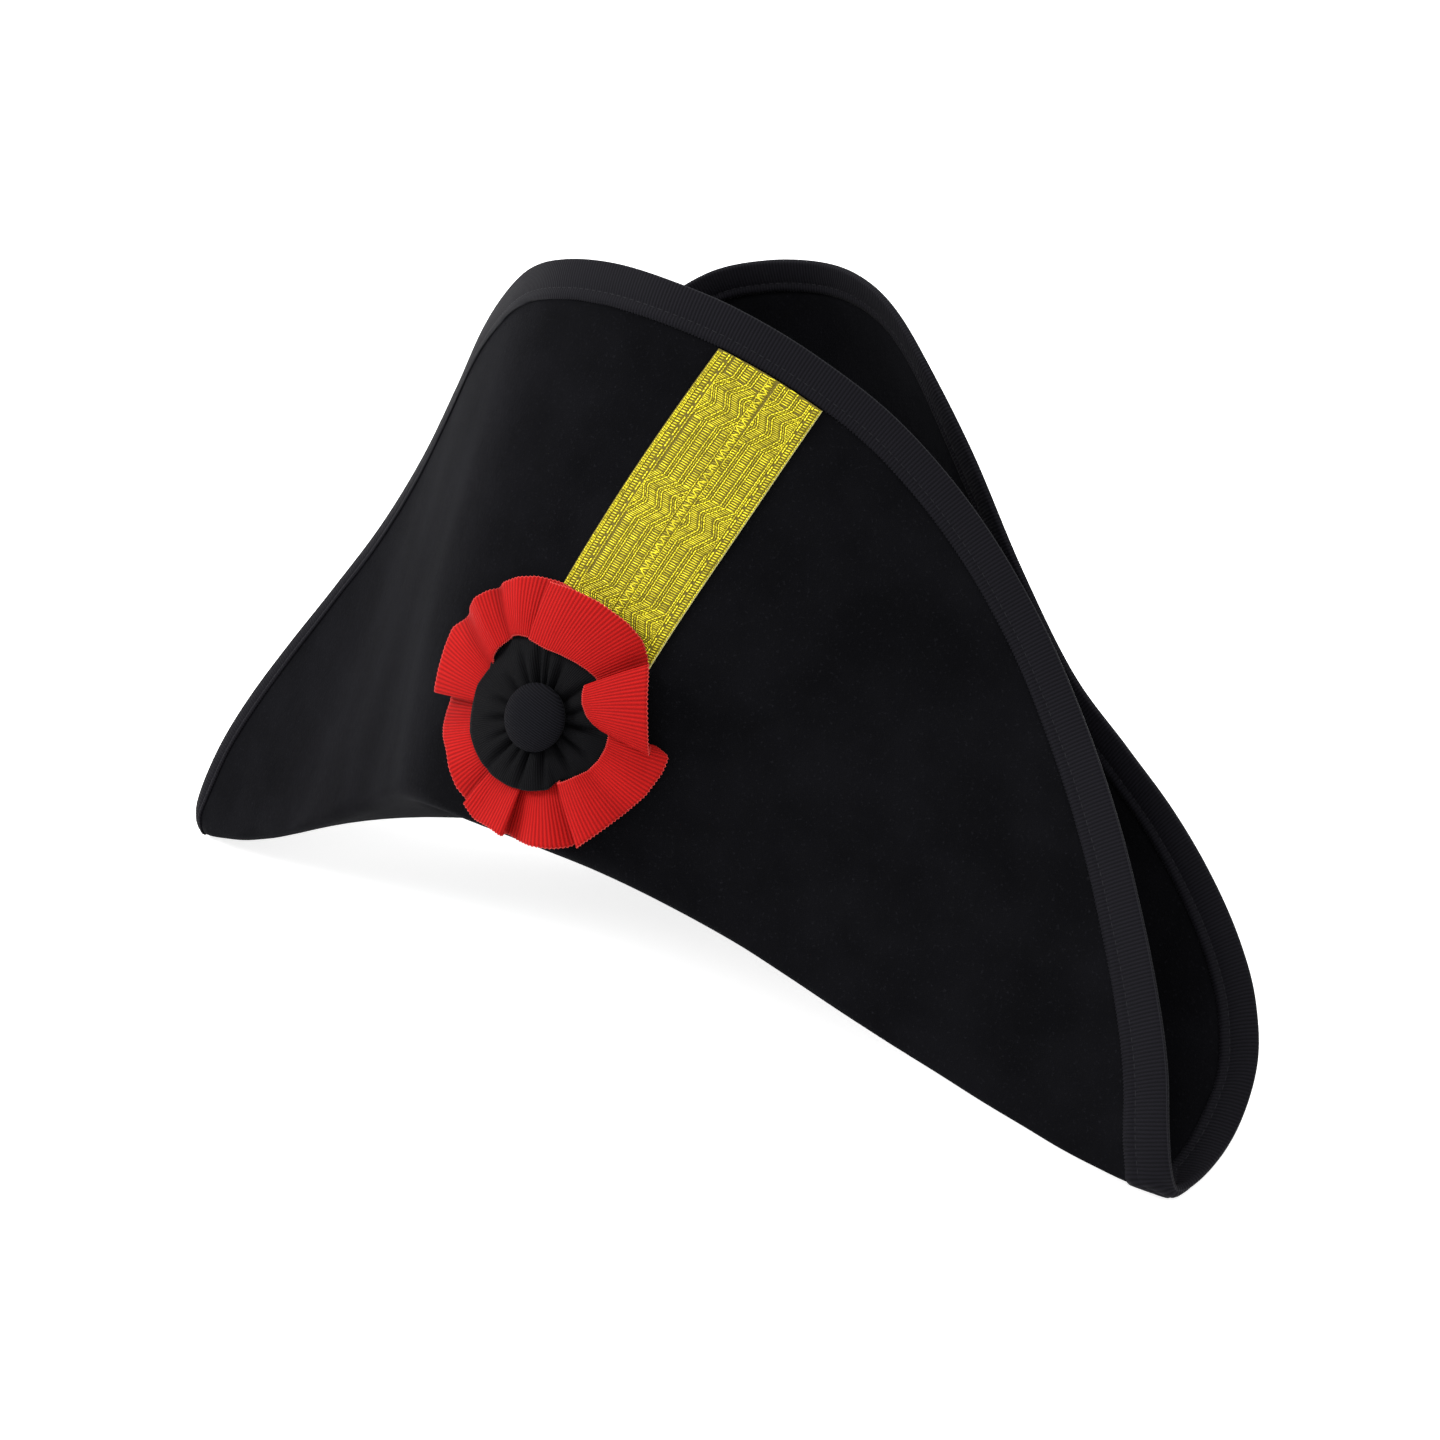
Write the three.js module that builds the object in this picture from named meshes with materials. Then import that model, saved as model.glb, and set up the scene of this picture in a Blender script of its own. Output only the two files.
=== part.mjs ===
// Bicorne hat of black wool felt with a bound edge, a slanting gold braid and a cockade.
// Millimetres. The hat is drawn as it is worn: X runs from horn to horn, -Y is the front,
// +Z is up and Z = 0 is at the horn tips. It is then leaned back to lie on the table.
import * as THREE from 'three';

const { Vector3 } = THREE;

// Driving sizes
const wall = 2;
const gap = 0.3;
const head = {
  halfWidth: 87, halfLength: 95, height: 96, rimRadius: 3, sideSteps: 5, roundness: 0.72, rise: 1.1,
};
const ribbon = { width: 14.5, thickness: 0.6, ease: 0.3, steps: 3 };
const braid = { thickness: 0.7, across: 4, along: 14, endRange: [0.7, 1.2] };
const grid = { perQuarter: 18, flapRows: 4, bendRows: 3, floorRows: 2, leastShare: 0.5, crowding: 0.06 };
const table = { lean: 30.7, lift: 1.6 };

// The braid's two long edges, given by X and height on the front flap
const braidLeft = { foot: [6, 113], top: [49.4, 233.5] };
const braidRight = { foot: [49, 103.5], top: [83.1, 222] };

// Cockade: middle on the front flap, then each ring's radii and its height over the felt
const cockade = { x: 22.8, z: 96, sagZ: 62 };
const redRing = {
  inner: 18, outer: 47.5, seat: 1.5, rise: 4, thickness: 0.8,
  folds: 9, wave: 2.6, scallop: 1.8, steps: 54, rows: 3, turn: 0.4,
};
const blackRing = {
  inner: 6, outer: 27, seat: 1.4, rise: 4.4, thickness: 0.7,
  folds: 11, wave: 1.4, scallop: 0.8, steps: 55, rows: 3, turn: 0.1,
};
const button = { radius: 12, seat: 3.9, rim: 2.4, dome: 4.6, domeSteps: 6, hem: 1, steps: 28 };
const bellyPeak = 0.8;

// Small steps for slopes, and the limits of the search for a place on the flap
const tiny = { place: 0.05, turn: 0.01, edgeTurn: 0.02, level: 0.01, slope: 0.001, length: 1e-6 };
const search = { turn: 0.1, level: 2.5, lowest: 1.6, highest: 2.99, rounds: 14, walk: 90, halvings: 24 };
const leastSine = 0.45;

// Sections of the flaps from the middle of the hat out to the horn tip.
// ovalDeg: place on the head opening; fold: where the brim turns up; bend: its radius;
// edge: top of the flap; belly: how far the flap swells outwards between fold and edge
const columns = ['ovalDeg', 'foldX', 'foldY', 'foldZ', 'bend', 'edgeX', 'edgeY', 'edgeZ', 'belly'];
const frontSections = [
  [0, 0, 103, 50.5, 4, 0, 105, 254, 3],
  [15, 26, 101, 50, 6, 25.5, 102.6, 252.3, 3],
  [29, 50, 92, 48.3, 7, 51, 92.2, 248, 3],
  [42, 72, 77.5, 44, 7, 77, 76.3, 239, 3],
  [53, 94, 64, 38.2, 7, 104, 57.6, 224.5, 2.5],
  [61, 114, 55, 31.8, 7, 130, 38.5, 202, 1.5],
  [67, 133, 47, 25.6, 6.5, 155, 23, 173.5, 0.5],
  [72, 151, 39, 20, 6, 178, 14, 143.5, 0],
  [76, 168, 31.5, 15, 6, 200, 10.5, 113.5, 0],
  [79, 184, 25, 10.4, 5.5, 219, 10, 85, 0],
  [82, 199, 19.5, 6.6, 5.5, 233, 10, 61.5, 0],
  [84, 213, 15.5, 3.5, 5, 243, 9.6, 41, 0],
  [86, 227, 12, 1.4, 5, 249.2, 8.8, 22, 0],
  [88, 241, 8.6, 0.1, 4.5, 252.8, 6, 9, 0],
  [90, 251.5, 0, 0, 3.5, 253.5, 0, 3, 0],
];
const backSections = [
  [0, 0, 103, 56, 4, 0, 2, 279, 26],
  [15, 26, 101, 55.5, 6, 24, -2, 275.6, 26],
  [29, 50, 92, 54, 7, 47, -7.1, 266.2, 25],
  [42, 72, 77.5, 51, 7, 69, -7, 248.5, 22],
  [53, 94, 64, 47.2, 7, 91, 2.4, 222, 17],
  [61, 114, 55, 43, 7, 115, 14.6, 187.5, 11],
  [67, 133, 47, 38, 6.5, 141, 24.6, 156.6, 6],
  [72, 151, 39, 32.8, 6, 167, 30, 137, 3],
  [76, 168, 31.5, 27, 6, 191, 31.8, 120.5, 1],
  [79, 184, 25, 21.8, 5.5, 211, 33.5, 103.5, 0],
  [82, 199, 19.5, 16.5, 5.5, 228, 35.2, 85, 0],
  [84, 213, 15.5, 11.4, 5, 241, 35.3, 66, 0],
  [86, 227, 12, 6.5, 5, 249.5, 33, 44, 0],
  [88, 241, 8.6, 2.2, 4.5, 252.5, 23, 18.5, 0],
  [90, 251.5, 0, 0, 3.5, 253.5, 0, 3, 0],
];
const lastSection = frontSections.length - 1;
const column = Object.fromEntries(columns.map((name, index) => [name, index]));

// A row past either end of a table is the mirrored row inside it
function sectionRow(sections, index) {
  if (index < 0) {
    const row = [...sections[-index]];
    for (const name of ['ovalDeg', 'foldX', 'edgeX']) row[column[name]] *= -1;
    return row;
  }
  if (index > lastSection) {
    const row = [...sections[2 * lastSection - index]];
    for (const name of ['foldY', 'edgeY']) row[column[name]] *= -1;
    row[column.ovalDeg] = 180 - row[column.ovalDeg];
    return row;
  }
  return sections[index];
}

// Smooth curve through the rows (Catmull-Rom), column by column
function sectionAt(sections, place) {
  const index = Math.min(Math.floor(place), lastSection - 1);
  const t = place - index;
  const [a, b, c, d] = [-1, 0, 1, 2].map((step) => sectionRow(sections, index + step));
  return b.map((value, i) => 0.5 * (2 * value + (c[i] - a[i]) * t
    + (2 * a[i] - 5 * value + 4 * c[i] - d[i]) * t * t
    + (3 * value - a[i] - 3 * c[i] + d[i]) * t * t * t));
}

// Height of the underside between the front and the back fold
function keelHeight(x, y) {
  const across = (sections, name) => {
    const far = Math.min(Math.abs(x), sections[lastSection][column.foldX]);
    const next = sections.findIndex((row) => row[column.foldX] >= far);
    const [low, high] = [sections[Math.max(next - 1, 0)], sections[next]];
    const span = high[column.foldX] - low[column.foldX];
    const t = span > 0 ? (far - low[column.foldX]) / span : 0;
    return low[column[name]] + (high[column[name]] - low[column[name]]) * t;
  };
  const half = across(frontSections, 'foldY') + tiny.length;
  const share = THREE.MathUtils.clamp(0.5 + 0.5 * y / half, 0, 1);
  return THREE.MathUtils.lerp(across(frontSections, 'foldZ'), across(backSections, 'foldZ'), share);
}

// One station of the flaps. turn: 0 front middle, 1 right horn, 2 back middle, 3 left horn
function station(turn) {
  const around = ((turn % 4) + 4) % 4;
  const quarter = Math.floor(around);
  const share = around - quarter;
  const frontSide = quarter === 0 || quarter === 3;
  const sections = frontSide ? frontSections : backSections;
  const signX = quarter < 2 ? 1 : -1;
  const signY = frontSide ? -1 : 1;
  const place = lastSection * (quarter % 2 === 0 ? share : 1 - share);
  const row = sectionAt(sections, place);
  const before = sectionAt(sections, Math.max(place - tiny.place, 0));
  const after = sectionAt(sections, Math.min(place + tiny.place, lastSection));
  const value = (name) => row[column[name]];
  const slopeX = after[column.foldX] - before[column.foldX];
  const slopeY = after[column.foldY] - before[column.foldY];
  const angle = THREE.MathUtils.degToRad(value('ovalDeg'));
  const rim = new Vector3(signX * head.halfWidth * Math.sin(angle),
    signY * head.halfLength * Math.cos(angle), 0);
  rim.z = keelHeight(rim.x, rim.y);
  return {
    rim,
    fold: new Vector3(signX * value('foldX'), signY * value('foldY'), value('foldZ')),
    edge: new Vector3(signX * value('edgeX'), signY * value('edgeY'), value('edgeZ')),
    out: new Vector3(-signX * slopeY, signY * slopeX, 0).normalize(),
    bend: value('bend'),
    belly: value('belly'),
  };
}

const mix = (a, b, t) => new Vector3().lerpVectors(a, b, t);
const curve = (a, corner, b, t) => mix(mix(a, corner, t), mix(corner, b, t), t);

// The visible outer face at one station, from the head opening (0) over the underside (to 1)
// and the bend (to 2) up the flap to its edge (3)
function outerFace(at, level) {
  const inner = at.fold.clone().addScaledVector(at.out, -at.bend);
  inner.z = keelHeight(inner.x, inner.y);
  const start = rimCurve(at, 1);
  if (level <= 1) {
    const point = mix(start, inner, level);
    point.z = keelHeight(point.x, point.y);
    return point;
  }
  const rise = at.edge.clone().sub(at.fold);
  const length = rise.length();
  const foot = at.fold.clone().addScaledVector(rise, Math.min(at.bend, length / 2) / length);
  if (level <= 2) return curve(inner, at.fold, foot, level - 1);
  const share = level - 2;
  const swell = at.belly * Math.sin(Math.PI * share ** bellyPeak);
  return mix(foot, at.edge, share).addScaledVector(at.out, swell);
}

// Rounded turn from the head opening's wall (0) to the underside (1)
function rimCurve(at, t) {
  const outwards = new Vector3(at.rim.x / head.halfWidth ** 2, at.rim.y / head.halfLength ** 2, 0);
  const flat = at.rim.clone().addScaledVector(outwards.normalize(), head.rimRadius);
  const upright = at.rim.clone().add(new Vector3(0, 0, head.rimRadius));
  return curve(upright, at.rim, flat, t);
}

// Inside of the crown, from the rim (0) to the top (1)
function crownFace(at, t) {
  const angle = t * Math.PI / 2;
  const shrink = Math.cos(angle) ** head.roundness;
  const base = keelHeight(0, 0);
  const foot = at.rim.z + head.rimRadius;
  const z = foot + (base + head.height - foot) * Math.sin(angle) ** head.rise;
  return new Vector3(at.rim.x * shrink, at.rim.y * shrink, z);
}

// Walks down a station from the flap's edge and returns the level at each distance from it
function levelsFromEdge(at, distances) {
  const marks = [{ level: 3, far: 0 }];
  let last = outerFace(at, 3);
  for (let i = 1; i <= search.walk; i += 1) {
    const level = 3 - 3 * i / search.walk;
    const point = outerFace(at, level);
    marks.push({ level, far: marks[i - 1].far + point.distanceTo(last) });
    last = point;
  }
  return distances.map((far) => {
    const next = Math.max(marks.findIndex((mark) => mark.far >= far), 1);
    const [low, high] = [marks[next - 1], marks[next]];
    const t = (far - low.far) / Math.max(high.far - low.far, tiny.length);
    return THREE.MathUtils.lerp(low.level, high.level, THREE.MathUtils.clamp(t, 0, 1));
  });
}

// Distance down a station that gives the ribbon the same width square to the edge everywhere
function ribbonReach(turn) {
  const [after, before] = [station(turn + tiny.edgeTurn).edge, station(turn - tiny.edgeTurn).edge];
  const along = after.sub(before).normalize();
  const at = station(turn);
  const down = outerFace(at, 3).sub(outerFace(at, 3 - 10 * tiny.level)).normalize();
  return ribbon.width / Math.max(Math.sqrt(1 - along.dot(down) ** 2), leastSine);
}

// Levels of all rows of one station: ribbon rows, flap, bend and underside
function rowLevels(turn) {
  const at = station(turn);
  const reach = ribbonReach(turn);
  const marks = Array.from({ length: ribbon.steps + 1 }, (_, i) => reach * i / ribbon.steps);
  const levels = levelsFromEdge(at, marks);
  let rowsLeft = grid.flapRows + grid.bendRows + grid.floorRows;
  for (const [target, rows] of [[2, grid.flapRows], [1, grid.bendRows], [0, grid.floorRows]]) {
    const from = levels[levels.length - 1];
    const to = Math.min(target, from * (1 - grid.leastShare * rows / rowsLeft));
    rowsLeft -= rows;
    for (let i = 1; i <= rows; i += 1) levels.push(THREE.MathUtils.lerp(from, to, i / rows));
  }
  return levels;
}

// Rows of the outer face, ring by ring, from the edge to the crown's top
function faceRings() {
  const around = 4 * grid.perQuarter;
  const stations = Array.from({ length: around }, (_, i) => {
    const turn = i / grid.perQuarter;
    return turn - grid.crowding * Math.sin(2 * Math.PI * turn);
  });
  const lines = stations.map((turn) => {
    const at = station(turn);
    const line = rowLevels(turn).map((level) => outerFace(at, Math.max(level, 0)));
    line.push(rimCurve(at, 0.5));
    for (let i = 0; i < head.sideSteps; i += 1) line.push(crownFace(at, i / head.sideSteps));
    return line;
  });
  return lines[0].map((_, row) => lines.map((line) => line[row]));
}

// Smooth normals of the rings, pointing out of the felt on its outer face
function ringNormals(rings) {
  const around = rings[0].length;
  return rings.map((ring, row) => ring.map((point, i) => {
    const up = rings[Math.max(row - 1, 0)][i];
    const down = rings[Math.min(row + 1, rings.length - 1)][i];
    const left = ring[(i + around - 1) % around];
    const right = ring[(i + 1) % around];
    return up.clone().sub(down).cross(right.clone().sub(left)).normalize().negate();
  }));
}

// Height over the table of a point drawn in the worn frame
const lean = THREE.MathUtils.degToRad(table.lean);
const tableUp = new Vector3(0, -Math.sin(lean), Math.cos(lean));
const tableHeight = (point) => point.dot(tableUp) + table.lift;

// Felt and ribbon are pressed flat where they lie on the table
function settle(point, least) {
  const height = tableHeight(point);
  return height < least ? point.clone().addScaledVector(tableUp, least - height) : point;
}

function closedMesh(name, points, faces, material) {
  const geometry = new THREE.BufferGeometry();
  const flat = points.flatMap((point) => [point.x, point.y, point.z]);
  geometry.setAttribute('position', new THREE.Float32BufferAttribute(flat, 3));
  geometry.setIndex(faces.flat());
  geometry.computeVertexNormals();
  const mesh = new THREE.Mesh(geometry, material);
  mesh.name = name;
  return mesh;
}

// Two triangles for the cell a, b, c, d, split from a to c or, when crossed, from b to d
const quad = (a, b, c, d, crossed = false) => (
  crossed ? [[b, c, d], [b, d, a]] : [[a, b, c], [a, c, d]]);

// Two faces of a shell made of the same rings; the last ring closes on a point of its own
function shellSolid(name, outside, inside, topOutside, topInside, material) {
  const around = outside[0].length;
  const rows = outside.length;
  const points = [...outside.flat(), ...inside.flat(), topOutside, topInside];
  const back = rows * around;
  const faces = [];
  for (let i = 0; i < around; i += 1) {
    const next = (i + 1) % around;
    for (let row = 0; row < rows - 1; row += 1) {
      const [a, b] = [row * around + i, row * around + next];
      const [c, d] = [a + around, b + around];
      const left = i >= around / 2;
      faces.push(...quad(a, c, d, b, left));
      faces.push(...quad(back + a, back + b, back + d, back + c, left));
    }
    faces.push(...quad(i, next, back + next, back + i, i >= around / 2));
    const last = (rows - 1) * around;
    faces.push([last + next, last + i, 2 * back]);
    faces.push([back + last + i, back + last + next, 2 * back + 1]);
  }
  return closedMesh(name, points, faces, material);
}

// A closed band: loops of equal length, each joined to the next and the last to the first.
// crossed says for which loops the cells are split along their other diagonal
function bandSolid(name, loops, material, crossed = () => false) {
  const size = loops[0].length;
  const faces = [];
  loops.forEach((_, k) => {
    const nextLoop = (k + 1) % loops.length;
    for (let i = 0; i < size; i += 1) {
      const next = (i + 1) % size;
      const cell = [k * size + i, k * size + next, nextLoop * size + next, nextLoop * size + i];
      faces.push(...quad(...cell, crossed(k) !== (i >= size / 2)));
    }
  });
  return closedMesh(name, loops.flat(), faces, material);
}

// A rectangular patch with a lower and an upper face
function patchSolid(name, lower, upper, material) {
  const [rows, cols] = [lower.length, lower[0].length];
  const base = rows * cols;
  const faces = [];
  const id = (row, col) => row * cols + col;
  for (let row = 0; row < rows - 1; row += 1) {
    for (let col = 0; col < cols - 1; col += 1) {
      const cell = [id(row, col), id(row, col + 1), id(row + 1, col + 1), id(row + 1, col)];
      faces.push(...quad(...cell.map((k) => base + k)), ...quad(...cell.reverse()));
    }
  }
  const rimIds = [];
  for (let col = 0; col < cols - 1; col += 1) rimIds.push(id(0, col));
  for (let row = 0; row < rows - 1; row += 1) rimIds.push(id(row, cols - 1));
  for (let col = cols - 1; col > 0; col -= 1) rimIds.push(id(rows - 1, col));
  for (let row = rows - 1; row > 0; row -= 1) rimIds.push(id(row, 0));
  rimIds.forEach((a, i) => {
    const b = rimIds[(i + 1) % rimIds.length];
    faces.push(...quad(a, b, base + b, base + a));
  });
  return closedMesh(name, [...lower.flat(), ...upper.flat()], faces, material);
}

// Materials
const cloth = (color, roughness) => new THREE.MeshStandardMaterial({ color, roughness, metalness: 0 });
const feltCloth = cloth(0x101012, 0.95);
const ribbonCloth = cloth(0x1e1d22, 0.7);
const braidCloth = cloth(0xb8aa2b, 0.5);
const redCloth = cloth(0xc21b1a, 0.7);
const blackCloth = cloth(0x161518, 0.7);
const buttonCloth = cloth(0x19191d, 0.75);

// Felt body: crown, brim and flaps in one shell
const rings = faceRings();
const normals = ringNormals(rings);
const ribbonSpace = ribbon.ease + ribbon.thickness;
const outerRings = rings.map((ring, row) => {
  const least = row <= ribbon.steps ? ribbonSpace : 0;
  return ring.map((point) => settle(point, least));
});
const innerRings = outerRings.map((ring, row) => ring.map((point, i) => (
  settle(point.clone().addScaledVector(normals[row][i], -wall), wall / 2))));
const crownTop = new Vector3(0, 0, keelHeight(0, 0) + head.height);

function feltBody() {
  const top = crownTop.clone().add(new Vector3(0, 0, wall));
  return shellSolid('felt_body', outerRings, innerRings, crownTop, top, feltCloth);
}

// Direction out of the flap's edge, square to it
function edgeDirection(i) {
  const [edge, below] = rings;
  const before = edge[(i + edge.length - 1) % edge.length];
  const along = edge[(i + 1) % edge.length].clone().sub(before).normalize();
  return edge[i].clone().sub(below[i]).projectOnPlane(along).normalize();
}

// Edge binding: ribbon folded over the edge, the same width on both faces
function edgeBinding() {
  const side = (faces, sign, reach, least) => {
    const loops = [];
    for (let row = ribbon.steps; row >= 0; row -= 1) {
      loops.push(faces[row].map((point, i) => {
        const moved = point.clone().addScaledVector(normals[row][i], sign * reach);
        if (row === 0) moved.addScaledVector(edgeDirection(i), reach);
        return settle(moved, least);
      }));
    }
    return loops;
  };
  const wrap = (reach, least) => [
    ...side(outerRings, 1, reach, least),
    ...side(innerRings, -1, reach, least).reverse(),
  ];
  const outside = wrap(ribbonSpace, 0);
  const inside = wrap(ribbon.ease, ribbon.thickness);
  const rows = ribbon.steps + 1;
  const climbing = (k) => k % (2 * rows) < rows;
  return bandSolid('edge_binding', [...outside, ...inside.reverse()], ribbonCloth, climbing);
}

// Finds the station and level of the front flap's outer face at a given X and height
function flapPlace(x, z) {
  let { turn, level } = search;
  const step = tiny.slope;
  for (let i = 0; i < search.rounds; i += 1) {
    const here = outerFace(station(turn), level);
    const byTurn = outerFace(station(turn + step), level).sub(here).divideScalar(step);
    const byLevel = outerFace(station(turn), level + step).sub(here).divideScalar(step);
    const [missX, missZ] = [x - here.x, z - here.z];
    const scale = byTurn.x * byLevel.z - byLevel.x * byTurn.z;
    turn += (missX * byLevel.z - byLevel.x * missZ) / scale;
    level += (byTurn.x * missZ - missX * byTurn.z) / scale;
    level = THREE.MathUtils.clamp(level, search.lowest, search.highest);
  }
  return { turn, level };
}

// A point lifted off the front flap by a height
function onFlap(x, z, height) {
  const low = Math.max(z, cockade.sagZ);
  const { turn, level } = flapPlace(x, low);
  const point = outerFace(station(turn), level);
  const byTurn = outerFace(station(turn + tiny.turn), level).sub(point);
  const byLevel = outerFace(station(turn), level + tiny.level).sub(point);
  const normal = byTurn.cross(byLevel).normalize();
  if (normal.y > 0) normal.negate();
  point.z += z - low;
  return { point: point.addScaledVector(normal, height), normal };
}

// How far up the line from foot to top the braid meets the ribbon's lower edge
function braidEnd(foot, top) {
  let [low, high] = braid.endRange;
  for (let i = 0; i < search.halvings; i += 1) {
    const t = (low + high) / 2;
    const [x, z] = [0, 1].map((k) => THREE.MathUtils.lerp(foot[k], top[k], t));
    const { turn, level } = flapPlace(x, z);
    const at = station(turn);
    const [limit] = levelsFromEdge(at, [ribbonReach(turn) + 2 * gap]);
    if (level > limit) high = t;
    else low = t;
  }
  return low;
}

function galonStrap() {
  const lower = [];
  const upper = [];
  for (let row = 0; row <= braid.along; row += 1) {
    const [lowRow, highRow] = [[], []];
    for (let col = 0; col <= braid.across; col += 1) {
      const share = col / braid.across;
      const foot = [0, 1].map((k) => THREE.MathUtils.lerp(braidLeft.foot[k], braidRight.foot[k], share));
      const top = [0, 1].map((k) => THREE.MathUtils.lerp(braidLeft.top[k], braidRight.top[k], share));
      const t = braidEnd(foot, top) * row / braid.along;
      const [x, z] = [0, 1].map((k) => THREE.MathUtils.lerp(foot[k], top[k], t));
      lowRow.push(onFlap(x, z, gap).point);
      highRow.push(onFlap(x, z, gap + braid.thickness).point);
    }
    lower.push(lowRow);
    upper.push(highRow);
  }
  return patchSolid('galon_strap', lower, upper, braidCloth);
}

// A gathered ribbon ring that follows the felt, seated at its inner edge and waved at its outer
function ruffle(name, ring, material) {
  const loops = [];
  const face = (share, height) => Array.from({ length: ring.steps }, (_, i) => {
    const angle = 2 * Math.PI * i / ring.steps;
    const fold = Math.cos(ring.folds * angle + ring.turn);
    const radius = THREE.MathUtils.lerp(ring.inner, ring.outer + ring.scallop * fold, share);
    const lift = ring.seat + ring.rise * share + ring.wave * share * fold + height;
    return onFlap(cockade.x + radius * Math.cos(angle), cockade.z + radius * Math.sin(angle), lift).point;
  });
  for (let row = 0; row <= ring.rows; row += 1) loops.push(face(row / ring.rows, 0));
  for (let row = ring.rows; row >= 0; row -= 1) loops.push(face(row / ring.rows, ring.thickness));
  return bandSolid(name, loops, material);
}

function cockadeButton() {
  const profile = [new THREE.Vector2(0, 0), new THREE.Vector2(button.radius - button.hem, 0)];
  for (let i = 0; i <= button.domeSteps; i += 1) {
    const angle = Math.PI / 2 * i / button.domeSteps;
    const radius = i === button.domeSteps ? 0 : button.radius * Math.cos(angle);
    profile.push(new THREE.Vector2(radius, button.rim + button.dome * Math.sin(angle)));
  }
  const mesh = new THREE.Mesh(new THREE.LatheGeometry(profile, button.steps), buttonCloth);
  mesh.name = 'cockade_button';
  const { point, normal } = onFlap(cockade.x, cockade.z, button.seat);
  mesh.position.copy(point);
  mesh.quaternion.setFromUnitVectors(new Vector3(0, 1, 0), normal);
  return mesh;
}

const worn = new THREE.Group();
worn.add(feltBody(), edgeBinding(), galonStrap());
worn.add(ruffle('cockade_red_ruffle', redRing, redCloth));
worn.add(ruffle('cockade_black_ruffle', blackRing, blackCloth));
worn.add(cockadeButton());

// Leaned back on the horn tips and the back of the rim, with the origin under the middle
worn.rotation.x = -lean;
worn.position.z = table.lift;
const hat = new THREE.Group();
hat.add(worn);
hat.updateMatrixWorld(true);
const middle = new THREE.Box3().setFromObject(hat, true).getCenter(new Vector3());
hat.position.set(-middle.x, -middle.y, 0);

export default hat;
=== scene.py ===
import math
import bpy
import bmesh
import numpy as np
from mathutils import Matrix, Vector


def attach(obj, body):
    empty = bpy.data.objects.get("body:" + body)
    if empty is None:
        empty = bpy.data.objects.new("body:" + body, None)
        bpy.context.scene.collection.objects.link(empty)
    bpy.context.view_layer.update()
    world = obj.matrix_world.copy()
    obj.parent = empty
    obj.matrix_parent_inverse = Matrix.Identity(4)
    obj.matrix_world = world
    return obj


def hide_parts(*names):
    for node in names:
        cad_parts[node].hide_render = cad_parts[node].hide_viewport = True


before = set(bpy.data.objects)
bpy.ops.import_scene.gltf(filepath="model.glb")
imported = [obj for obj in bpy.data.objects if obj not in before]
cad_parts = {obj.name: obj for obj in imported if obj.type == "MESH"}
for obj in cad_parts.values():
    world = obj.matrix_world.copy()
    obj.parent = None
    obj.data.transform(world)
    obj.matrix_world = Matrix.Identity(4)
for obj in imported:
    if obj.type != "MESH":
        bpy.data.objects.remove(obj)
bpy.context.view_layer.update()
print("frame loaded")

# Everything is drawn in millimetres as the hat is worn (X from horn to horn, -Y the front,
# Z up from the horn tips), then leaned back onto the table and turned into metres
rest = {"lean": 30.7, "lift": 1.6, "middleY": -40.757}
leanTurn = np.array(Matrix.Rotation(-math.radians(rest["lean"]), 3, "X"))


def turned(vectors):
    return np.asarray(vectors, float) @ leanTurn.T


def onTable(points):
    return (turned(points) + np.array([0.0, rest["middleY"], rest["lift"]])) / 1000.0


def addObject(name, data):
    thing = bpy.data.objects.new(name, data)
    bpy.context.scene.collection.objects.link(thing)
    return thing


# Camera at the photograph's angle, given in the worn frame
lens = {"azimuth": 41.5, "elevation": 2.5, "roll": 14.608, "distance": 1400.0,
        "focal": 94.34, "aside": 6.777, "above": 106.664}


def makeCamera():
    a, e, r = (math.radians(lens[k]) for k in ("azimuth", "elevation", "roll"))
    back = np.array([math.sin(a) * math.cos(e), -math.cos(a) * math.cos(e), math.sin(e)])
    right = np.array([math.cos(a), math.sin(a), 0.0])
    up = np.cross(back, right)
    spot = lens["distance"] * back + lens["aside"] * right + lens["above"] * up
    across = math.cos(r) * right + math.sin(r) * up
    upwards = -math.sin(r) * right + math.cos(r) * up
    data = bpy.data.cameras.new("photoCamera")
    data.lens, data.sensor_width = lens["focal"], 36.0
    data.clip_start, data.clip_end = 0.05, 30.0
    camera = addObject("photoCamera", data)
    axes = turned(np.array([across, upwards, back])).T
    place = Matrix(axes.tolist()).to_4x4()
    place.translation = Vector(onTable(spot))
    camera.matrix_world = place
    bpy.context.scene.camera = camera


makeCamera()

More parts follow.
